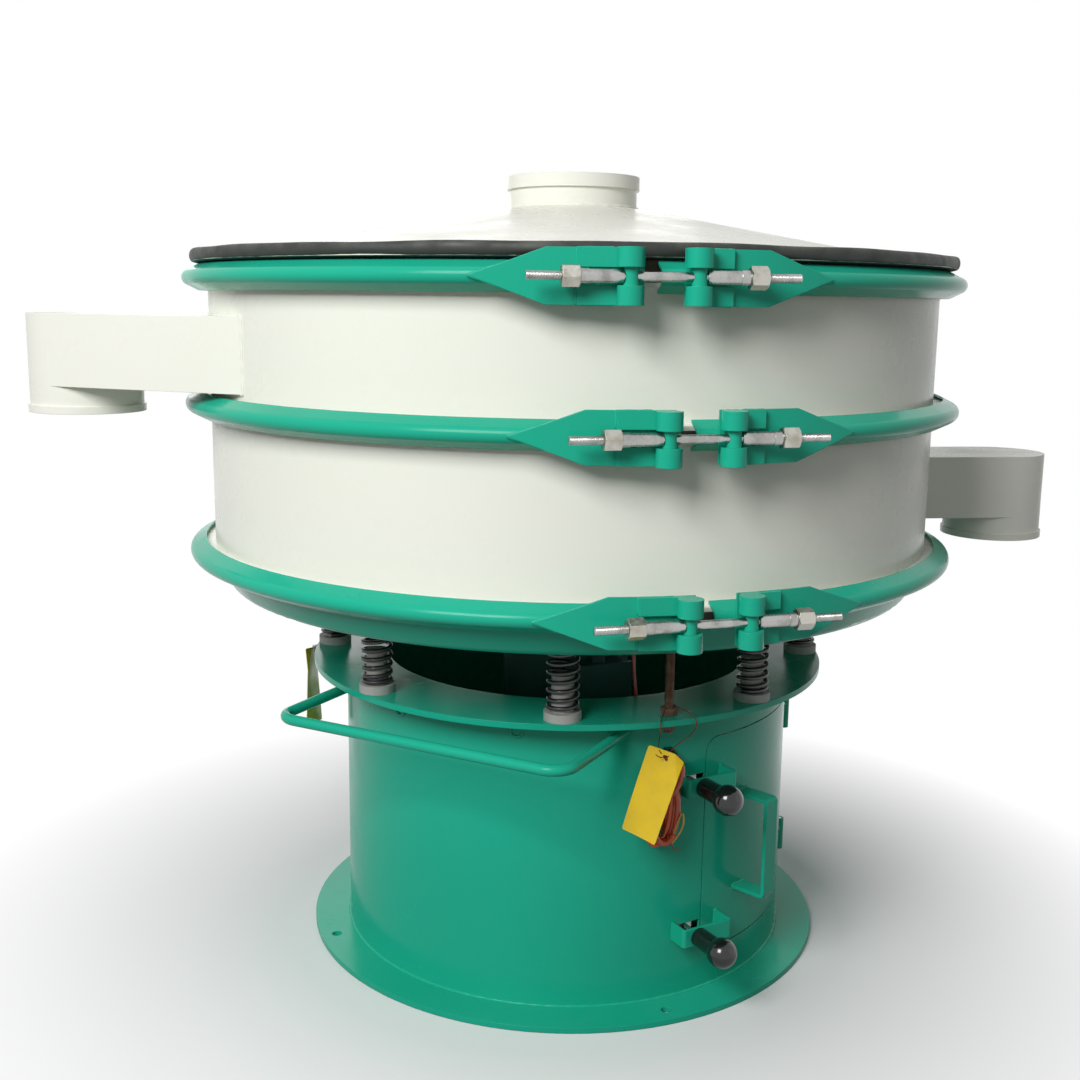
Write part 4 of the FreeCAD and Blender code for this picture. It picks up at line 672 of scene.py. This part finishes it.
def make_supply_cable():
    """The cable from its gland, coiled into a hank that hangs by the shell, to its bare end."""
    route = [
        polar(GLAND, 346.1 * MM, 345 * MM),
        polar(GLAND, 362.1 * MM, 345 * MM),
        polar(21.5, 372.1 * MM, 327 * MM),
        polar(20.0, 366.1 * MM, 307 * MM),
        polar(19.5, 353.1 * MM, 299 * MM),
        hank_point(-4 * MM, 20 * MM, 296 * MM),
        hank_point(-11 * MM, 11 * MM, 288 * MM),
    ]
    per_turn = 16
    steps = CABLE_TURNS * per_turn + 5
    for k in range(steps + 1):
        turn = k / per_turn
        angle = math.pi + 0.35 + 2 * math.pi * turn
        wide = (16.5 + 2.2 * math.cos(1.9 * turn)) * MM
        tall = (46.0 + 4.5 * math.sin(1.45 * turn)) * MM
        shift = (3.8 * math.cos(1.55 * turn + 0.3)) * MM
        depth = (9.0 + 18.5 * turn / CABLE_TURNS) * MM
        sag = 2.5 * MM * math.sin(2.3 * turn)
        across = math.copysign(abs(math.cos(angle)) ** 0.75, math.cos(angle))
        upward = math.copysign(abs(math.sin(angle)) ** 0.9, math.sin(angle))
        route.append(hank_point(shift + wide * across, depth, 281 * MM - sag + tall * upward))
    cord = nurbs_cord("supply_cord", route, CABLE, FINISHES["cable_sheath"], "base")
    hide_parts("supply_cable", "cable_hank")
    end = route[-1]
    yellow = nurbs_cord("yellow_core", [
        end,
        hank_point(24.5 * MM, 31 * MM, 283 * MM),
        hank_point(28.5 * MM, 31.5 * MM, 262 * MM),
        hank_point(21 * MM, 31 * MM, 246 * MM),
        hank_point(12 * MM, 30 * MM, 236 * MM),
    ], CORE, FINISHES["core_sheath"], "base")
    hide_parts("cable_cores")
    brown = nurbs_cord("brown_core", [
        hank_point(7 * MM, 27.6 * MM, 246 * MM),
        hank_point(10.5 * MM, 31 * MM, 236 * MM),
        hank_point(15.5 * MM, 31 * MM, 228 * MM),
        hank_point(23 * MM, 30 * MM, 226 * MM),
    ], CORE, FINISHES["brown_core"], "base")


LEAD_ROUTE = (
    # bearing, distance from the axis and height, in millimetres
    (22.5, 308.1, 345), (22.5, 276.1, 347), (20.5, 258.1, 379), (19.5, 252.1, 423),
    (19.5, 244.1, 463), (20.5, 210.1, 481), (22.5, 160.1, 478), (22.5, 120.1, 457),
    (22.5, 112.0, 436),
)


def make_motor_lead():
    """The lead inside the base: it follows the deck at the motor and the base at the gland."""
    points = [polar(b, r * MM, z * MM) for b, r, z in LEAD_ROUTE]
    route = smooth_route(points, 7)
    build = Build()
    build.sweep(route, LEAD / 2, sides=12)
    piece = build.piece("motor_supply_lead", FINISHES["lead_sheath"], None, "lead_sheath", 60)
    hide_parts("motor_lead")
    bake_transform(piece)


# ---------------------------------------------------------------- tags

TAG = (46 * MM, 118 * MM, 0.8 * MM)
TAG_HOLE = 8 * MM
# bearing and height of the tag's middle, its lean, and how far it has turned on its wire
TAGS = ((14.5, 322, 16.0, -26.0), (-99.5, 322, -6.0, 6.0), (140.5, 322, 8.0, -8.0))
TAG_REACH = 392 * MM
TAG_TWIST = -0.3
TIE_CIRCLE = 345 * MM


def tag_card(build, place, bend):
    """A card with a punched hole, rounded corners and one bent corner, as a fine grid."""
    wide, tall, thick = TAG
    across, down = 18, 40
    hole = Vector((0, tall / 2 - TAG_HOLE))
    for side in (-0.5, 0.5):
        first = len(build.points)
        for j in range(down + 1):
            for i in range(across + 1):
                x = wide * (i / across - 0.5)
                z = tall * (j / down - 0.5)
                edge = 1.5 * MM
                dx, dz = abs(x) - (wide / 2 - edge), abs(z) - (tall / 2 - edge)
                if dx > 0 and dz > 0 and math.hypot(dx, dz) > edge:
                    scale = edge / math.hypot(dx, dz)
                    x = math.copysign(wide / 2 - edge + dx * scale, x)
                    z = math.copysign(tall / 2 - edge + dz * scale, z)
                off = Vector((x, z)) - hole
                if off.length < 2.6 * MM:
                    off = off.normalized() * 2.6 * MM if off.length > 1e-6 else Vector((0, 2.6 * MM))
                    x, z = hole + off
                fold = max(0.0, (x / wide + z / tall) - 0.72) * bend * 60 * MM
                curl = 2.2 * MM * math.sin(2.2 * z / tall + 0.4) + 1.2 * MM * (2 * x / wide) ** 2
                turn = TAG_TWIST * (0.5 - z / tall)
                depth = side * thick - fold - curl
                bent = (x * math.cos(turn) - depth * math.sin(turn),
                        x * math.sin(turn) + depth * math.cos(turn), z)
                build.points.append(place @ Vector(bent))
        for j in range(down):
            for i in range(across):
                a = first + j * (across + 1) + i
                centre = Vector((wide * ((i + 0.5) / across - 0.5), tall * ((j + 0.5) / down - 0.5)))
                if (centre - hole).length < 1.6 * MM:
                    continue
                face = (a, a + 1, a + across + 2, a + across + 1)
                build.faces.append(face if side < 0 else face[::-1])
    count = (across + 1) * (down + 1)
    start = len(build.points) - 2 * count
    rim = ([(0, i) for i in range(across)] + [(j, across) for j in range(down)]
           + [(down, i) for i in range(across, 0, -1)] + [(j, 0) for j in range(down, 0, -1)])
    ids = [start + j * (across + 1) + i for j, i in rim]
    for a, b in zip(ids, ids[1:] + ids[:1]):
        build.faces.append((b, a, a + count, b + count))


def make_tags():
    """Three cards, each on a wire loop that goes round a transport bolt and through its hole."""
    ties = [bearing_of(middle(cloud)) for cloud in solids("transport_bolts")]
    flange_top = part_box("top_flange")[1][2]
    rim = reach("top_flange")
    for k, (bearing, height, lean, twist) in enumerate(TAGS):
        place = (Matrix.Translation(polar(bearing, TAG_REACH, height * MM))
                 @ Matrix.Rotation(math.radians(bearing + twist), 4, "Z")
                 @ Matrix.Rotation(math.radians(lean), 4, "Y"))
        build = Build()
        tag_card(build, place, 1.0 if k == 0 else 0.3)
        card = build.piece(f"yellow_tag_{k + 1}", FINISHES["tag_plastic"], "base", "tag_plastic", 30)
        hole = place @ Vector((0, -2.5 * MM, TAG[1] / 2 - TAG_HOLE))
        tie = min(ties, key=lambda t: abs((t - bearing + 180) % 360 - 180))
        height_on_bolt = flange_top + 12.0 * MM
        rod = polar(tie, TIE_CIRCLE, height_on_bolt)
        out = polar(tie, 1, 0)
        side = Vector((-out.y, out.x, 0))
        edge = out * (rim + 4 * MM) + Vector((0, 0, flange_top - 2 * MM))
        back = [rod - side * 7 * MM + out * 1 * MM, rod - out * 8 * MM,
                rod + side * 7 * MM + out * 1 * MM]
        spread = 25 * MM
        points = [back[0] + out * 6 * MM, edge - side * spread + Vector((0, 0, 5 * MM)),
                  edge - side * spread * 0.98 - Vector((0, 0, 14 * MM)),
                  hole - out * 2 * MM - side * 9 * MM + Vector((0, 0, 10 * MM)), hole - out * 3 * MM,
                  hole + out * 3 * MM + side * 2 * MM,
                  hole + side * 10 * MM + Vector((0, 0, 9 * MM)) - out * 3 * MM,
                  edge + side * spread - Vector((0, 0, 14 * MM)),
                  edge + side * spread * 0.98 + Vector((0, 0, 5 * MM)), back[2] + out * 6 * MM,
                  back[2], back[1], back[0]]
        wire = nurbs_cord(f"tag_wire_{k + 1}", points, WIRE, FINISHES["tie_wire"], "base")
        ends = Build()
        for twist_side in (-1, 1):
            tail = [hole + side * twist_side * (3 * MM + 9 * MM * t) + out * (2 + 2 * t) * MM
                    + Vector((0, 0, (1.5 - 4.5 * t * t * twist_side - 2 * t) * MM))
                    for t in (0, 0.35, 0.7, 1.0, 1.3)]
            ends.sweep(smooth_route(tail, 4), WIRE / 2, sides=8)
        knot = [hole + out * 2.6 * MM + side * (1.4 * MM * math.cos(a))
                + Vector((0, 0, 1.4 * MM * math.sin(a) - 1 * MM * a / 6))
                for a in (math.pi * n / 4 for n in range(17))]
        ends.sweep(knot, WIRE / 2, sides=8)
        tails = ends.piece(f"tag_wire_ends_{k + 1}", FINISHES["tie_wire"], "base", "tag_plastic", 60)
        if k == 0:
            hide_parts("warning_tags")


# ---------------------------------------------------------------- lid edging

def make_edging():
    """Rubber channel pushed over the lid's rim: a rounded outer face that isn't quite even."""
    low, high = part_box("lid_edging")[0][2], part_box("lid_edging")[1][2]
    outer = reach("lid_edging")
    inner = float(np.hypot(*corners("lid_edging")[:, :2].T).min())
    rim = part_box("lid")[0][2]
    bulge = 5 * MM
    profile = [(inner, rim + 4.2 * MM), (inner + 1 * MM, high - 4 * MM),
               (inner + 4 * MM, high - 0.8 * MM)]
    for k in range(9):
        angle = math.pi / 2 - math.pi * k / 8
        profile.append((outer - bulge + bulge * math.cos(angle),
                        (low + high) / 2 + 1.2 * MM + ((high - low) / 2 - 1.2 * MM) * math.sin(angle)))
    profile += [(inner + 6 * MM, low + 0.4 * MM), (inner + 1 * MM, low + 1 * MM),
                (inner, rim - 0.6 * MM)]
    steps = 240
    random.seed(4)
    waves = [(n, random.uniform(0.15, 0.5) * MM, random.uniform(0, 6.3)) for n in (3, 5, 8, 13, 21)]
    rows = []
    for j in range(steps):
        angle = 2 * math.pi * j / steps
        wave = sum(size * math.sin(n * angle + phase) for n, size, phase in waves)
        ring = []
        for r, z in profile:
            share = (r - inner) / (outer - inner)
            lift = wave * share * (0.6 if z < (low + high) / 2 else 1.0)
            if z < (low + high) / 2:
                lift = abs(lift)
            reach_at = r - 0.4 * MM * share + 0.3 * wave * share
            ring.append((reach_at * math.sin(angle), -reach_at * math.cos(angle), z + lift))
        rows.append(ring)
    build = Build()
    build.rows(rows, close_ends=True)
    piece = build.piece("lid_edging_channel", FINISHES["seal_rubber"], "sieve", "seal_rubber", 50)
    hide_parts("lid_edging")


# ---------------------------------------------------------------- welds

def bead(build, route, radius, closed=False, ripple=1.7 * MM, step=0.9 * MM):
    """A weld bead: a thin rod laid in a corner, with the ripples of the torch."""
    route = [Vector(p) for p in route]
    if closed:
        route = route + route[:1]
    fine, sizes, gone = [], [], 0.0
    for a, b in zip(route, route[1:]):
        span = (b - a).length
        parts = max(1, int(span / step))
        for k in range(parts):
            along = gone + span * k / parts
            fine.append(a.lerp(b, k / parts))
            wander = 0.12 * math.sin(along * 311) + 0.08 * math.sin(along * 97 + 1)
            sizes.append(radius * (1 + wander + 0.16 * abs(math.sin(math.pi * along / ripple))))
        gone += span
    if not closed:
        fine.append(route[-1])
        sizes.append(radius * 0.7)
        sizes[0] = radius * 0.7
    build.sweep(fine, sizes, sides=7, closed=closed)


def round_seam(build, radius, height, size, steps=360):
    """Bead all the way round the machine's axis."""
    points = [polar(360.0 * k / steps, radius, height) for k in range(steps)]
    bead(build, points, size, closed=True, step=2.2 * MM, ripple=4.3 * MM)


# the bearing of each ring's closure
CLOSURES = {"top": 8.4, "middle": 13.0, "bottom": 16.0}
# a lug, in millimetres: its tip's and trunnion's distance from the closure's middle, its plate,
# the run of its left and right straps, and the sockets' slot and length
LUG = {"tip": 196.0, "trunnion": 35.5, "plate": 3.1, "left": 52.0, "right": 40.0, "slot": 18.0,
       "socket": 20.0}
# each chute's bearing, and how far it lies to the side of the machine's axis, in millimetres
CHUTES = {"upper": (-112.5, 355.0), "lower": (96.8, 88.6)}
CHUTE_HALF = 73 * MM
SPOUT_DROP = 36 * MM
LID_OVERHANG = 20 * MM
NECK = 88.5 * MM
RAIL_BEARING = -28.0
HANDLE_BEARING = 46.0
LATCH_BEARING = 28.7
LATCH_HEIGHTS = (100 * MM, 304 * MM)


def lug_seams(build, place, joint, crest):
    """Beads along a lug's taper and at the ends of its wrapped straps."""
    for side, wrap in ((-1, LUG["left"]), (1, LUG["right"])):
        centre = CLOSURES[place]

        def spot(x, z, out):
            angle = centre + math.degrees(math.asin(x * MM / (crest + out * MM)))
            return polar(angle, crest + out * MM, joint + z * MM)

        end = side * (LUG["trunnion"] + wrap)
        for low in (LUG["slot"] / 2, -LUG["slot"] / 2 - LUG["socket"]):
            bead(build, [spot(end, low + 1 + k * 3.6, LUG["plate"] + 0.6) for k in range(6)],
                 1.3 * MM)
            for level in (low + 0.3, low + LUG["socket"] - 0.3):
                inner = side * (LUG["trunnion"] + 14)
                bead(build, [spot(inner + (end - inner) * k / 8, level, LUG["plate"] + 0.2)
                             for k in range(9)], 0.9 * MM)
        tip = side * LUG["tip"]
        run = side * (LUG["tip"] - 34)
        for up in (-1, 1):
            bead(build, [spot(tip + (run - tip) * k / 8, up * 12.0 * k / 8, LUG["plate"] - 1.6)
                         for k in range(9)], 1.2 * MM)


def chute_seam(build, name, wall):
    """Bead round a chute where it meets the frame's round wall."""
    bearing, offset = CHUTES[name]
    ahead = polar(bearing, 1, 0)
    aside = Vector((-ahead.y, ahead.x, 0))
    low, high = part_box(f"{name}_chute")[0][2] + SPOUT_DROP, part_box(f"{name}_chute")[1][2]
    near, far = offset * MM - CHUTE_HALF, offset * MM + CHUTE_HALF

    def spot(across, height):
        along = math.sqrt(max(wall ** 2 - across ** 2, 0.0)) + 0.6 * MM
        return ahead * along + aside * across + Vector((0, 0, height))

    count = 24
    route = [spot(near, low + (high - low) * k / count) for k in range(count)]
    route += [spot(near + (far - near) * k / count, high) for k in range(count)]
    route += [spot(far, high + (low - high) * k / count) for k in range(count)]
    route += [spot(far + (near - far) * k / count, low) for k in range(count)]
    bead(build, route, 2.0 * MM, closed=True, ripple=3.4 * MM, step=1.5 * MM)


def rail_seams(build):
    """Bead round each end of the towing rail, where the rod meets the shell."""
    cloud = corners("towing_rail")
    height = (cloud[:, 2].max() + cloud[:, 2].min()) / 2
    rod = (cloud[:, 2].max() - cloud[:, 2].min()) / 2
    local = cloud @ np.array(Matrix.Rotation(math.radians(RAIL_BEARING), 3, "Z").transposed())
    half = float(local[:, 0].max()) - rod
    for side in (-1, 1):
        points = []
        for k in range(28):
            angle = 2 * math.pi * k / 28
            across = side * half + (rod + 0.6 * MM) * math.cos(angle)
            rise = (rod + 0.6 * MM) * math.sin(angle)
            depth = math.sqrt(SHELL ** 2 - across ** 2)
            points.append(turned((across, -depth, height + rise), RAIL_BEARING))
        bead(build, points, 2.2 * MM, closed=True)


def foot_seam(build, bearing, side, height, half, tall, size=1.5 * MM):
    """Bead round a flat bar's end on the shell."""
    corners_of = [(-half, -tall), (half, -tall), (half, tall), (-half, tall)]
    points = []
    for (x, z), (x2, z2) in zip(corners_of, corners_of[1:] + corners_of[:1]):
        for k in range(6):
            across = side + x + (x2 - x) * k / 6
            depth = math.sqrt((SHELL + 0.4 * MM) ** 2 - across ** 2)
            points.append(turned((across, -depth, height + z + (z2 - z) * k / 6), bearing))
    bead(build, points, size, closed=True)


def make_welds():
    green, cream = FINISHES["green_paint"], FINISHES["cream_paint"]
    base = Build()
    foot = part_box("bottom_flange")[1][2]
    round_seam(base, SHELL, foot, 2.4 * MM)
    round_seam(base, SHELL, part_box("top_flange")[0][2], 2.0 * MM)
    rail_seams(base)
    base.piece("base_welds", green, "base", "green_paint", 60)
    door = Build()
    low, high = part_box("door_handle")[0][2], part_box("door_handle")[1][2]
    for height in (low + 2.5 * MM, high - 2.5 * MM):
        foot_seam(door, HANDLE_BEARING, 0.0, height, 12 * MM, 2.5 * MM)
    for height in LATCH_HEIGHTS:
        foot_seam(door, LATCH_BEARING, 52 * MM, height, 2 * MM, 12 * MM)
    door.piece("door_welds", green, "door", "green_paint", 60)
    deck = Build()
    for place in CLOSURES:
        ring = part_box(f"{place}_ring")
        joint = (ring[0][2] + ring[1][2]) / 2
        lug_seams(deck, place, joint, reach(f"{place}_ring"))
    deck.piece("lug_welds", green, "sieve", "green_paint", 60)
    frames = Build()
    wall = reach("lid") - LID_OVERHANG
    for name in CHUTES:
        chute_seam(frames, name, wall)
    lid_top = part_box("lid")[1][2]
    round_seam(frames, NECK + 0.6 * MM, lid_top + 0.4 * MM, 1.8 * MM, steps=160)
    frames.piece("frame_welds", cream, "sieve", "cream_paint", 60)


# ---------------------------------------------------------------- camera, light and floor

CAMERA_PLACE = Vector((-0.048, -1.888, 0.910))
CAMERA_DOWN = 10.37
CAMERA_YAW = 0.22
CAMERA_ROLL = 0.68
CAMERA_LENS = 43.67
AMBIENT = 0.22


def make_camera():
    data = bpy.data.cameras.new("camera")
    data.sensor_width = 36.0
    data.lens = CAMERA_LENS
    data.clip_start = 0.01
    camera = bpy.data.objects.new("camera", data)
    bpy.context.scene.collection.objects.link(camera)
    yaw = Matrix.Rotation(math.radians(-CAMERA_YAW), 4, "Z")
    tilt = Matrix.Rotation(math.radians(90 - CAMERA_DOWN), 4, "X")
    roll = Matrix.Rotation(math.radians(CAMERA_ROLL), 4, "Z")
    camera.matrix_world = Matrix.Translation(CAMERA_PLACE) @ yaw @ tilt @ roll
    bpy.context.scene.camera = camera


def area_light(name, place, target, size, power):
    data = bpy.data.lights.new(name, "AREA")
    data.shape = "RECTANGLE"
    data.size, data.size_y = size
    data.energy = power
    lamp = bpy.data.objects.new(name, data)
    bpy.context.scene.collection.objects.link(lamp)
    lamp.location = place
    lamp.rotation_euler = (Vector(target) - Vector(place)).to_track_quat("-Z", "Y").to_euler()


def seen_directly(tree):
    """1 for a ray from the camera, a reflection or a refraction."""
    path = tree.nodes.new("ShaderNodeLightPath")
    total = path.outputs["Is Camera Ray"]
    for kind in ("Is Glossy Ray", "Is Transmission Ray"):
        node = tree.nodes.new("ShaderNodeMath")
        node.operation = "MAXIMUM"
        tree.links.new(total, node.inputs[0])
        tree.links.new(path.outputs[kind], node.inputs[1])
        total = node.outputs["Value"]
    return total


def make_world():
    world = bpy.data.worlds.new("studio")
    world.use_nodes = True
    tree = world.node_tree
    background = tree.nodes["Background"]
    background.inputs["Color"].default_value = (1, 1, 1, 1)
    strength = tree.nodes.new("ShaderNodeMapRange")
    strength.inputs["To Min"].default_value = AMBIENT
    strength.inputs["To Max"].default_value = 1.0
    tree.links.new(seen_directly(tree), strength.inputs["Value"])
    tree.links.new(strength.outputs["Result"], background.inputs["Strength"])
    bpy.context.scene.world = world


def make_floor():
    """A pale floor that keeps the shadow near the machine and runs out to plain white."""
    half = 7.0
    mesh = bpy.data.meshes.new("floor")
    mesh.from_pydata([(-half, -half, 0), (half, -half, 0), (half, half, 0), (-half, half, 0)],
                     [], [(0, 1, 2, 3)])
    floor = bpy.data.objects.new("floor", mesh)
    bpy.context.scene.collection.objects.link(floor)
    floor.location.z = -0.5 * MM
    finish = Finish("pale_floor", (0.86, 0.86, 0.86), 0.9, Specular_IOR_Level=0.1)
    pale = finish.blend(finish.noise(3.0, 2.0), (0.84, 0.84, 0.84), (0.88, 0.88, 0.88))
    finish.paint(finish.blend(seen_directly(finish.tree), (0.22, 0.22, 0.22), pale))
    finish.bump(finish.noise(60.0, 2.0), 0.02)
    distance = finish.add("ShaderNodeVectorMath", operation="LENGTH")
    finish.join(finish.place, distance.inputs[0])
    far = finish.span(distance.outputs["Value"], 0.42, 0.95)
    white = finish.add("ShaderNodeEmission")
    mix = finish.add("ShaderNodeMixShader")
    finish.join(finish.times(far, seen_directly(finish.tree)), mix.inputs["Fac"])
    finish.join(finish.shader.outputs["BSDF"], mix.inputs[1])
    finish.join(white.outputs["Emission"], mix.inputs[2])
    finish.join(mix.outputs["Shader"], finish.tree.nodes["Material Output"].inputs["Surface"])
    mesh.materials.append(finish.material)


def make_lights():
    aim = (0, 0, 0.55)
    area_light("key", (-1.45, -2.75, 2.55), aim, (1.5, 1.5), 112)
    area_light("right_fill", (3.2, -1.4, 1.4), aim, (1.4, 2.0), 2)
    area_light("back_fill", (-0.6, 3.4, 1.6), aim, (2.5, 1.6), 14)


# ---------------------------------------------------------------- the scene

def set_view():
    bpy.context.scene.view_settings.view_transform = "Standard"


def main():
    set_view()
    make_camera()
    make_world()
    make_floor()
    make_lights()
    dress_nodes()
    make_springs()
    make_threads()
    make_nuts()
    make_knobs()
    make_supply_cable()
    make_motor_lead()
    make_tags()
    make_edging()
    make_welds()
    bpy.context.view_layer.update()


main()
